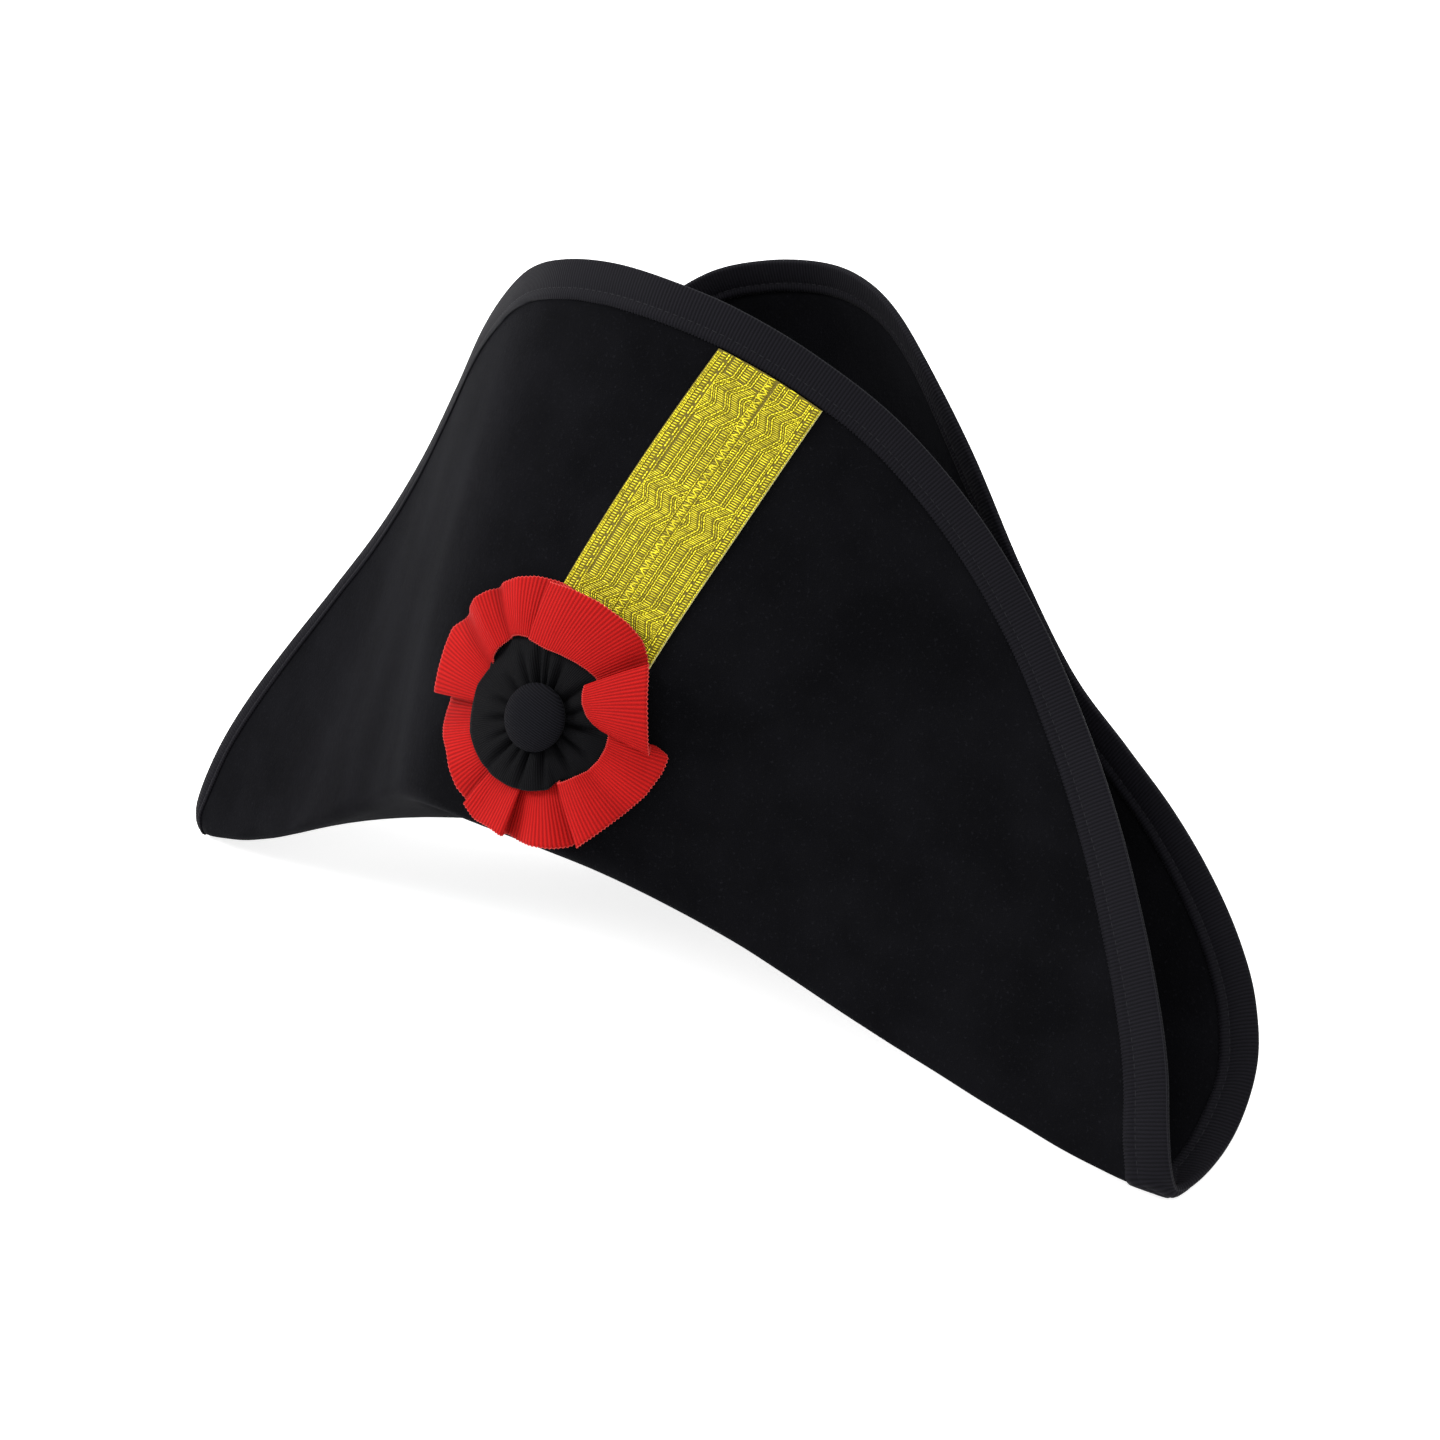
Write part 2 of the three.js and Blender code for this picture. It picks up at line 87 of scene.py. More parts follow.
# Sections of the flaps from the middle of the hat out to the horn tip
sectionColumns = ["ovalDeg", "foldX", "foldY", "foldZ", "bend", "edgeX", "edgeY", "edgeZ", "belly"]
frontSections = [
    [0, 0, 103, 50.5, 4, 0, 105, 254, 3],
    [15, 26, 101, 50, 6, 25.5, 102.6, 252.3, 3],
    [29, 50, 92, 48.3, 7, 51, 92.2, 248, 3],
    [42, 72, 77.5, 44, 7, 77, 76.3, 239, 3],
    [53, 94, 64, 38.2, 7, 104, 57.6, 224.5, 2.5],
    [61, 114, 55, 31.8, 7, 130, 38.5, 202, 1.5],
    [67, 133, 47, 25.6, 6.5, 155, 23, 173.5, 0.5],
    [72, 151, 39, 20, 6, 178, 14, 143.5, 0],
    [76, 168, 31.5, 15, 6, 200, 10.5, 113.5, 0],
    [79, 184, 25, 10.4, 5.5, 219, 10, 85, 0],
    [82, 199, 19.5, 6.6, 5.5, 233, 10, 61.5, 0],
    [84, 213, 15.5, 3.5, 5, 243, 9.6, 41, 0],
    [86, 227, 12, 1.4, 5, 249.2, 8.8, 22, 0],
    [88, 241, 8.6, 0.1, 4.5, 252.8, 6, 9, 0],
    [90, 251.5, 0, 0, 3.5, 253.5, 0, 3, 0],
]
backSections = [
    [0, 0, 103, 56, 4, 0, 2, 279, 26],
    [15, 26, 101, 55.5, 6, 24, -2, 275.6, 26],
    [29, 50, 92, 54, 7, 47, -7.1, 266.2, 25],
    [42, 72, 77.5, 51, 7, 69, -7, 248.5, 22],
    [53, 94, 64, 47.2, 7, 91, 2.4, 222, 17],
    [61, 114, 55, 43, 7, 115, 14.6, 187.5, 11],
    [67, 133, 47, 38, 6.5, 141, 24.6, 156.6, 6],
    [72, 151, 39, 32.8, 6, 167, 30, 137, 3],
    [76, 168, 31.5, 27, 6, 191, 31.8, 120.5, 1],
    [79, 184, 25, 21.8, 5.5, 211, 33.5, 103.5, 0],
    [82, 199, 19.5, 16.5, 5.5, 228, 35.2, 85, 0],
    [84, 213, 15.5, 11.4, 5, 241, 35.3, 66, 0],
    [86, 227, 12, 6.5, 5, 249.5, 33, 44, 0],
    [88, 241, 8.6, 2.2, 4.5, 252.5, 23, 18.5, 0],
    [90, 251.5, 0, 0, 3.5, 253.5, 0, 3, 0],
]
col = {name: k for k, name in enumerate(sectionColumns)}
lastSection = len(frontSections) - 1

felt = {"wall": 2.0, "edgeWall": 1.3, "columns": 400, "ribbonRows": 6, "flapRows": 24, "bendRows": 8,
        "floorRows": 9, "rimRows": 4, "crownRows": 14, "bellyPeak": 0.8, "wobble": 0.5, "steadyReach": 7}
head = {"halfWidth": 87.0, "halfLength": 95.0, "height": 96.0, "rimRadius": 3.0,
        "roundness": 0.72, "rise": 1.1}
ribbon = {"width": 14.5, "thickness": 0.5, "ease": 0.15, "ribPitch": 1.3, "columnsPerRib": 2,
          "capRows": 5, "tooth": 0.55, "stitchFromEdge": 4.2}


def mirroredEnds(rows):
    rows = np.array(rows, float)
    first, last = rows[1].copy(), rows[-2].copy()
    first[[col["ovalDeg"], col["foldX"], col["edgeX"]]] *= -1
    last[[col["foldY"], col["edgeY"]]] *= -1
    last[col["ovalDeg"]] = 180 - last[col["ovalDeg"]]
    return np.vstack([first, rows, last])


sectionTables = {"front": mirroredEnds(frontSections), "back": mirroredEnds(backSections)}


def smoothRows(rows, place):
    index = np.clip(np.floor(place).astype(int), 0, lastSection - 1)
    t = (place - index)[:, None]
    a, b, c, d = (rows[index + k] for k in range(4))
    return 0.5 * (2 * b + (c - a) * t + (2 * a - 5 * b + 4 * c - d) * t ** 2
                  + (3 * b - a - 3 * c + d) * t ** 3)


densePlaces = np.linspace(0, lastSection, 421)
denseRows = {side: smoothRows(rows, densePlaces) for side, rows in sectionTables.items()}


# The folds stand a little higher on the hat's left side than on its right side
foldLifts = {"front": {"lift": 3.4, "from": -90.0, "to": 190.0},
             "back": {"lift": 10.0, "from": 90.0, "to": 250.0}}


def liftOf(side, x):
    given = foldLifts[side]
    share = np.clip((-x - given["from"]) / (given["to"] - given["from"]), 0, 1)
    return given["lift"] * np.sin(math.pi * share) ** 1.5


# Height of the underside between the front and the back fold
def keelHeight(x, y):
    far = np.abs(x)

    def readAt(side, name):
        return np.interp(far, denseRows["front"][:, col["foldX"]], denseRows[side][:, col[name]])

    share = np.clip(0.5 + 0.5 * y / (readAt("front", "foldY") + 0.001), 0, 1)
    low = readAt("front", "foldZ") + liftOf("front", x)
    high = readAt("back", "foldZ") + liftOf("back", x)
    return low + (high - low) * share


crownBase = float(keelHeight(np.zeros(1), np.zeros(1))[0])


def unit(vectors):
    length = np.linalg.norm(vectors, axis=-1, keepdims=True)
    return vectors / np.maximum(length, 1e-9)


# Stations of the flaps. turn: 0 front middle, 1 right horn, 2 back middle, 3 left horn
def stationsAt(turn):
    turn = np.atleast_1d(np.asarray(turn, float))
    around = np.mod(turn, 4)
    quarter = np.minimum(np.floor(around).astype(int), 3)
    share = around - quarter
    front = (quarter == 0) | (quarter == 3)
    signX = np.where(quarter < 2, 1.0, -1.0)
    signY = np.where(front, -1.0, 1.0)
    place = lastSection * np.where(quarter % 2 == 0, share, 1 - share)

    def rowsAt(where):
        where = np.clip(where, 0, lastSection)
        return np.where(front[:, None], smoothRows(sectionTables["front"], where),
                        smoothRows(sectionTables["back"], where))

    here = dict(zip(sectionColumns, rowsAt(place).T))
    slope = dict(zip(sectionColumns, (rowsAt(place + 0.05) - rowsAt(place - 0.05)).T))
    angle = np.radians(here["ovalDeg"])
    rimX = signX * head["halfWidth"] * np.sin(angle)
    rimY = signY * head["halfLength"] * np.cos(angle)
    foldX = signX * here["foldX"]
    foldLift = np.where(front, liftOf("front", foldX), liftOf("back", foldX))
    out = np.column_stack([-signX * slope["foldY"], signY * slope["foldX"], np.zeros(len(turn))])
    return {
        "turn": turn,
        "rim": np.column_stack([rimX, rimY, keelHeight(rimX, rimY)]),
        "fold": np.column_stack([foldX, signY * here["foldY"], here["foldZ"] + foldLift]),
        "edge": np.column_stack([signX * here["edgeX"], signY * here["edgeY"], here["edgeZ"]]),
        "out": unit(out),
        "bend": here["bend"],
        "belly": here["belly"],
    }


def lerp(a, b, t):
    return a + (b - a) * t


def arcThrough(a, corner, b, t):
    return lerp(lerp(a, corner, t), lerp(corner, b, t), t)


# Soft unevenness of the felt, in millimetres along the flap's outward direction
def wobble(turn, level):
    t = 0.5 * math.pi * turn
    wave = (0.5 * np.sin(9 * t + 3.1 * level) + 0.34 * np.sin(14 * t - 4.3 * level + 1.2)
            + 0.26 * np.sin(23 * t + 5.7 * level + 0.4) + 0.2 * np.sin(31 * t - 7.1 * level + 2.2))
    fade = np.clip(level - 0.6, 0, 1) * np.clip((2.95 - level) / 0.4, 0, 1)
    return felt["wobble"] * wave * fade


def rimPoint(at, t):
    outwards = at["rim"] / np.array([head["halfWidth"] ** 2, head["halfLength"] ** 2, 1.0])
    outwards = unit(outwards * np.array([1.0, 1.0, 0.0]))
    flat = at["rim"] + outwards * head["rimRadius"]
    upright = at["rim"] + np.array([0.0, 0.0, head["rimRadius"]])
    return arcThrough(upright, at["rim"], flat, t)


# The outer face from the head opening (0) over the underside (1) and the bend (2) to the edge (3)
def outerFace(at, level):
    level = np.asarray(level, float)[:, None]
    inner = at["fold"] - at["out"] * at["bend"][:, None]
    inner[:, 2] = keelHeight(inner[:, 0], inner[:, 1])
    floor = lerp(rimPoint(at, 1.0), inner, np.clip(level, 0, 1))
    floor[:, 2] = keelHeight(floor[:, 0], floor[:, 1])
    rise = at["edge"] - at["fold"]
    length = np.linalg.norm(rise, axis=1, keepdims=True)
    foot = at["fold"] + rise * np.minimum(at["bend"][:, None], length / 2) / length
    bend = arcThrough(inner, at["fold"], foot, np.clip(level - 1, 0, 1))
    share = np.clip(level - 2, 0, 1)
    swell = at["belly"][:, None] * np.sin(math.pi * share ** felt["bellyPeak"])
    flap = lerp(foot, at["edge"], np.maximum(level - 2, 0)) + at["out"] * swell
    face = np.where(level <= 1, floor, np.where(level <= 2, bend, flap))
    return face + at["out"] * wobble(at["turn"][:, None], level)


# Inside of the crown, from the rim (0) to the top (1)
def crownFace(at, t):
    angle = t * math.pi / 2
    shrink = math.cos(angle) ** head["roundness"] if t < 1 else 0.0
    foot = at["rim"][:, 2] + head["rimRadius"]
    z = foot + (crownBase + head["height"] - foot) * math.sin(angle) ** head["rise"]
    return np.column_stack([at["rim"][:, 0] * shrink, at["rim"][:, 1] * shrink, z])


# Distances down from the edge to a row of levels
def walkDown(at, walk=120):
    marks = np.linspace(3, 0, walk + 1)
    points = np.array([outerFace(at, np.full(len(at["turn"]), m)) for m in marks])
    steps = np.linalg.norm(np.diff(points, axis=0), axis=2)
    return marks, np.vstack([np.zeros(steps.shape[1]), np.cumsum(steps, axis=0)])


# Levels at given distances down from the edge; distances has one row for each distance
def levelsFromEdge(at, distances):
    marks, far = walkDown(at)
    found = np.empty_like(distances)
    for k in range(far.shape[1]):
        found[:, k] = np.interp(distances[:, k], far[:, k], marks)
    return found


# Distance down a station that keeps the ribbon's width the same square to the edge
def ribbonReach(at, width=None):
    along = unit(stationsAt(at["turn"] + 0.02)["edge"] - stationsAt(at["turn"] - 0.02)["edge"])
    full = np.full(len(at["turn"]), 3.0)
    down = unit(outerFace(at, full) - outerFace(at, full - 0.1))
    sine = np.sqrt(np.maximum(1 - np.sum(along * down, axis=1) ** 2, 0.2))
    return (ribbon["width"] if width is None else width) / sine


def tableHeight(points):
    return turned(points)[..., 2] + rest["lift"]


tableUp = np.array([0.0, -math.sin(math.radians(rest["lean"])), math.cos(math.radians(rest["lean"]))])


# Felt and ribbon are pressed flat where they lie on the table
def settled(points, least):
    height = tableHeight(points)
    return points + tableUp * np.maximum(least - height, 0)[..., None]


# The felt is pressed thinner under the ribbon
def wallAt(distance):
    return lerp(felt["edgeWall"], felt["wall"], np.clip(distance / ribbon["width"], 0, 1))


# Rows of the outer face for the given turns: rows x stations x 3, from the edge to the crown
def faceRows(turn):
    at = stationsAt(turn)
    shares = np.linspace(0, 1, felt["ribbonRows"] + 1)[:, None]
    levels = list(levelsFromEdge(at, shares * ribbonReach(at)[None, :]))
    rowsLeft = felt["flapRows"] + felt["bendRows"] + felt["floorRows"]
    for target, steps in ((2, felt["flapRows"]), (1, felt["bendRows"]), (0, felt["floorRows"])):
        start = levels[-1]
        end = np.minimum(target, start * (1 - 0.5 * steps / rowsLeft))
        rowsLeft -= steps
        levels += [lerp(start, end, (k + 1) / steps) for k in range(steps)]
    lines = [outerFace(at, level) for level in levels]
    lines += [rimPoint(at, 1 - (k + 1) / felt["rimRows"]) for k in range(felt["rimRows"])]
    lines += [crownFace(at, (k + 1) / felt["crownRows"]) for k in range(felt["crownRows"] - 1)]
    return np.array(lines)


def gridNormals(rows):
    down = np.empty_like(rows)
    down[1:-1] = rows[:-2] - rows[2:]
    down[0] = rows[0] - rows[1]
    down[-1] = rows[-2] - rows[-1]
    across = np.roll(rows, -1, axis=1) - np.roll(rows, 1, axis=1)
    return -unit(np.cross(down, across))


# Stations crowd at the horn tips, where a normal can flip; its neighbours' mean is used there
def steadyNormals(normals, reach):
    mean = unit(sum(np.roll(normals, k, axis=1) for k in range(-reach, reach + 1)))
    flipped = np.sum(normals * mean, axis=2, keepdims=True) < 0.5
    return np.where(flipped, mean, normals)


# Mesh helpers
def meshObject(name, points, faces, material, uv=None):
    mesh = bpy.data.meshes.new(name)
    mesh.from_pydata(np.asarray(points, float).tolist(), [], faces)
    mesh.update()
    if uv is not None:
        layer = mesh.uv_layers.new(name="UVMap")
        layer.data.foreach_set("uv", np.asarray(uv, np.float32).ravel())
    mesh.materials.append(material)
    work = bmesh.new()
    work.from_mesh(mesh)
    bmesh.ops.recalc_face_normals(work, faces=work.faces)
    work.to_mesh(mesh)
    work.free()
    mesh.polygons.foreach_set("use_smooth", [True] * len(mesh.polygons))
    return addObject(name, mesh)


# Faces and face corners' UVs of a grid of points; closed along the columns or the rows when asked
def gridQuads(rowCount, colCount, wrapRows=False, wrapCols=False, uvGrid=None, period=0.0):
    faces, corners = [], []
    for r in range(rowCount if wrapRows else rowCount - 1):
        nextRow = (r + 1) % rowCount
        for c in range(colCount if wrapCols else colCount - 1):
            nextCol = (c + 1) % colCount
            faces.append((r * colCount + c, r * colCount + nextCol,
                          nextRow * colCount + nextCol, nextRow * colCount + c))
            if uvGrid is not None:
                shift = period if nextCol == 0 else 0.0
                for row, column, more in ((r, c, 0.0), (r, nextCol, shift),
                                          (nextRow, nextCol, shift), (nextRow, c, 0.0)):
                    u, v = uvGrid[row, column]
                    corners.append((u + more, v))
    return faces, corners


def finishPiece(piece, node):
    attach(piece, "root")
    if node:
        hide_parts(node)
    return piece


# Material helpers
def makeMaterial(name, color, roughness, specular=0.3, metallic=0.0, sheen=0.0, sheenTint=(1, 1, 1)):
    material = bpy.data.materials.new(name)
    material.use_nodes = True
    shader = material.node_tree.nodes["Principled BSDF"]
    shader.inputs["Base Color"].default_value = (*color, 1)
    shader.inputs["Roughness"].default_value = roughness
    shader.inputs["Specular IOR Level"].default_value = specular
    shader.inputs["Metallic"].default_value = metallic
    shader.inputs["Sheen Weight"].default_value = sheen
    shader.inputs["Sheen Roughness"].default_value = 0.4
    shader.inputs["Sheen Tint"].default_value = (*sheenTint, 1)
    return material, shader


# A node in a material's tree or in a tree of Geometry Nodes
def addNode(owner, kind, inputs=None, **settings):
    tree = getattr(owner, "node_tree", owner)
    node = tree.nodes.new(kind)
    for key, value in settings.items():
        setattr(node, key, value)
    for key, value in (inputs or {}).items():
        if isinstance(value, bpy.types.NodeSocket):
            tree.links.new(value, node.inputs[key])
        else:
            node.inputs[key].default_value = value
    return node


def reckon(material, operation, *values, clamp=False):
    inputs = {k: value for k, value in enumerate(values)}
    return addNode(material, "ShaderNodeMath", inputs, operation=operation, use_clamp=clamp).outputs[0]


def mixColors(material, factor, first, second):
    first = first if isinstance(first, bpy.types.NodeSocket) else (*first, 1)
    second = second if isinstance(second, bpy.types.NodeSocket) else (*second, 1)
    node = addNode(material, "ShaderNodeMix", {0: factor, 6: first, 7: second}, data_type="RGBA")
    return node.outputs[2]


def noiseOn(material, scale, detail=3.0, roughness=0.6, stretch=None):
    place = addNode(material, "ShaderNodeTexCoord").outputs["Object"]
    if stretch:
        place = addNode(material, "ShaderNodeMapping", {"Vector": place, "Scale": stretch}).outputs[0]
    inputs = {"Vector": place, "Scale": scale, "Detail": detail, "Roughness": roughness}
    return addNode(material, "ShaderNodeTexNoise", inputs).outputs[0]


def spread(material, value, low, high, toLow=0.0, toHigh=1.0):
    inputs = {0: value, 1: low, 2: high, 3: toLow, 4: toHigh}
    return addNode(material, "ShaderNodeMapRange", inputs).outputs[0]


def addBump(material, height, distance, strength=1.0, normal=None):
    inputs = {"Height": height, "Distance": distance, "Strength": strength}
    if normal is not None:
        inputs["Normal"] = normal
    return addNode(material, "ShaderNodeBump", inputs).outputs[0]


# The UV map of a cloth: along it and across it in millimetres
def clothPlace(material):
    uv = addNode(material, "ShaderNodeUVMap", uv_map="UVMap").outputs[0]
    split = addNode(material, "ShaderNodeSeparateXYZ", {0: uv})
    return split.outputs[0], split.outputs[1]


def ripple(material, value, pitch):
    return reckon(material, "SINE", reckon(material, "MULTIPLY", value, 2 * math.pi / pitch))


def dress(material, shader, color, normal):
    material.node_tree.links.new(color, shader.inputs["Base Color"])
    material.node_tree.links.new(normal, shader.inputs["Normal"])


def makeFelt():
    material, shader = makeMaterial("woolFelt", (0.003, 0.003, 0.0038), 0.92, 0.015, sheen=0.012,
                                    sheenTint=(0.75, 0.78, 0.9))
    patches = spread(material, noiseOn(material, 28, 3), 0.35, 0.65)
    fibres = noiseOn(material, 900, 5, 0.7)
    streaks = noiseOn(material, 260, 4, 0.65, (1.0, 1.0, 0.35))
    dark = mixColors(material, patches, (0.0021, 0.0021, 0.0026), (0.0034, 0.0034, 0.0042))
    pale = mixColors(material, spread(material, fibres, 0.58, 0.85), dark, (0.012, 0.012, 0.0145))
    rough = addBump(material, streaks, 0.0004, 0.5)
    dress(material, shader, pale, addBump(material, fibres, 0.00025, 0.8, rough))
    return material


# Ribbed ribbon. Its UV map is in millimetres: U along the ribbon and V across it. The rib valleys get a
# darker groove colour as painted shade, thin lines along given places across it get a painted highlight,
# and a hollow attribute, when given, paints shade into the ribbon's valleys
def makeGrosgrain(name, top, groove, edgeHighlight, pitch, highlightLines, roughness=0.6, specular=0.25,
                  sheen=0.0, ribs=0.00018, shade=0.0):
    material, shader = makeMaterial(name, top, roughness, specular, sheen=sheen)
    along, across = clothPlace(material)
    ridge = spread(material, ripple(material, along, pitch), -1, 1)
    yarn = noiseOn(material, 2400, 3, 0.6)
    patches = noiseOn(material, 45, 2)
    worn = mixColors(material, spread(material, patches, 0.35, 0.7, 0.0, 0.35), top,
                     tuple(0.72 * c for c in top))
    # Painted shade: the rib valleys take the darker groove colour, the rib tops the top colour
    color = mixColors(material, reckon(material, "POWER", ridge, 0.7), groove, worn)
    # Painted highlight: a lighter colour in a thin line at each given place across the ribbon
    for where, width in highlightLines:
        apart = reckon(material, "ABSOLUTE", reckon(material, "SUBTRACT", across, where))
        near = spread(material, apart, width * 0.5, width, 1.0, 0.0)
        color = mixColors(material, near, color, edgeHighlight)
    # Painted shade: the hollow attribute darkens the colour towards a near-black copy of the top colour,
    # standing in for shade in the valleys between folds
    if shade:
        hollowShade = addNode(material, "ShaderNodeAttribute", attribute_name="hollowShade").outputs["Fac"]
        deep = reckon(material, "MULTIPLY", hollowShade, shade)
        color = mixColors(material, deep, color, tuple(0.12 * c for c in top))
    height = ridge
    for part, share in ((ripple(material, across, 0.42), 0.08), (yarn, 0.25)):
        height = reckon(material, "ADD", height, reckon(material, "MULTIPLY", part, share))
    dress(material, shader, color, addBump(material, height, ribs))
    return material


feltMaterial = makeFelt()
print("felt material made")

# Felt body: one closed shell of outer and inner face, from the flaps' edge to the crown
ribbonSpace = ribbon["ease"] + ribbon["thickness"]


def makeFeltShell():
    columns = felt["columns"]
    turns = 4 * np.arange(columns) / columns
    rows = faceRows(turns)
    normals = steadyNormals(gridNormals(rows), felt["steadyReach"])
    least = np.zeros(rows.shape[:2])
    least[:felt["ribbonRows"] + 1] = ribbonSpace
    outer = settled(rows, least)
    down = np.arange(rows.shape[0]) / felt["ribbonRows"] * ribbon["width"]
    inner = settled(outer - wallAt(down)[:, None, None] * normals, felt["wall"] / 2)
    crownTop = np.array([0.0, 0.0, crownBase + head["height"]])
    count = rows.shape[0] * columns
    tops = [crownTop, crownTop + [0, 0, felt["wall"]]]
    points = np.vstack([outer.reshape(-1, 3), inner.reshape(-1, 3), *tops])
    faces, _ = gridQuads(rows.shape[0], columns, wrapCols=True)
    faces += [tuple(count + k for k in reversed(face)) for face in faces]
    last = (rows.shape[0] - 1) * columns
    for c in range(columns):
        following = (c + 1) % columns
        faces.append((c, count + c, count + following, following))
        faces.append((last + c, last + following, 2 * count))
        faces.append((count + last + following, count + last + c, 2 * count + 1))
    shell = meshObject("feltShell", onTable(points), faces, feltMaterial)
    return finishPiece(shell, "felt_body")


feltShell = makeFeltShell()
print("felt shell made")

# Edge binding: ribbed ribbon folded over the flaps' edge
binding = {"sides": [0, 1.2, 2.6, 4.2, 6.2, 8.2, 9.7, 10.3, 11.0, 12.6, 14.5], "puff": 0.3,
           "dimple": 0.2, "capUp": 0.7, "lowest": 1.35, "spare": 1.5, "steadyReach": 30,
           "stitchLength": 2.3, "stitchStep": 3.1, "stitchSize": [0.38, 0.3]}
# Binding colours: top, a darker groove colour as painted shade in the rib valleys, and a lighter line 1.1
# mm across on the fold as painted highlight along the edge
bindingMaterial = makeGrosgrain("bindingGrosgrain", (0.0062, 0.0058, 0.0082), (0.0022, 0.0021, 0.003),
                                (0.013, 0.0127, 0.0155), ribbon["ribPitch"], [(1.1, 0.25)],
                                0.7, 0.05, 0.012, 0.00012)


# Turns at equal steps along the flaps' edge
def turnsAlongEdge(count):
    fine = np.linspace(0, 4, 12001)
    edge = stationsAt(fine)["edge"]
    far = np.concatenate([[0], np.cumsum(np.linalg.norm(np.diff(edge, axis=0), axis=1))])
    return np.interp(np.arange(count) / count * far[-1], far, fine), far[-1]


# How far the ribbon stands off the felt at a distance from the edge
def bindingRise(distance):
    distance = np.asarray(distance, float)
    stitch = ribbon["width"] - ribbon["stitchFromEdge"]
    body = np.clip(distance / stitch, 0, 1)
    flange = np.clip((distance - stitch) / ribbon["stitchFromEdge"], 0, 1)
    rise = ribbonSpace + binding["puff"] * np.sin(math.pi * body) * (distance < stitch)
    rise += 0.3 * np.sin(math.pi * flange)
    return rise - binding["dimple"] * np.exp(-((distance - stitch) / 0.7) ** 2)


# The ribbon is folded by hand: its share on the outer face changes along the edge
bindingShare = [[0, 14.3], [0.12, 14.0], [0.25, 12.9], [0.42, 12.8], [0.6, 14.0], [0.8, 15.2],
                [1.0, 15.0], [1.1, 16.0], [1.5, 17.5], [2.5, 17.5], [2.85, 15.0], [3.0, 9.0], [3.1, 7.2],
                [3.45, 7.0], [3.62, 10.0], [3.8, 13.4], [4.0, 14.3]]


def outerWidth(turns):
    share = np.array(bindingShare, float)
    return np.interp(np.mod(turns, 4), share[:, 0], share[:, 1])


# Rows of one side of the ribbon. At the horns it ends under the fold, and its rows lie closer
def bindingGrid(turns, widths):
    at = stationsAt(turns)
    full = ribbonReach(at)
    marks, far = walkDown(at)
    row = int(np.argmin(np.abs(marks - binding["lowest"])))
    wanted = full / ribbon["width"] * widths
    reach = np.minimum(wanted, far[row])
    distances = np.append(np.array(binding["sides"]), ribbon["width"] + binding["spare"])
    down = distances[:, None] / ribbon["width"] * reach[None, :]
    levels = levelsFromEdge(at, down)
    grid = np.array([outerFace(at, level) for level in levels])
    wall = wallAt(down[:-1] / full * ribbon["width"])[:, :, None]
    free = np.clip((levels[-2] - 2.0) / 0.25, 0, 1)[:, None]
    return grid[:-1], steadyNormals(gridNormals(grid), binding["steadyReach"])[:-1], wall, free


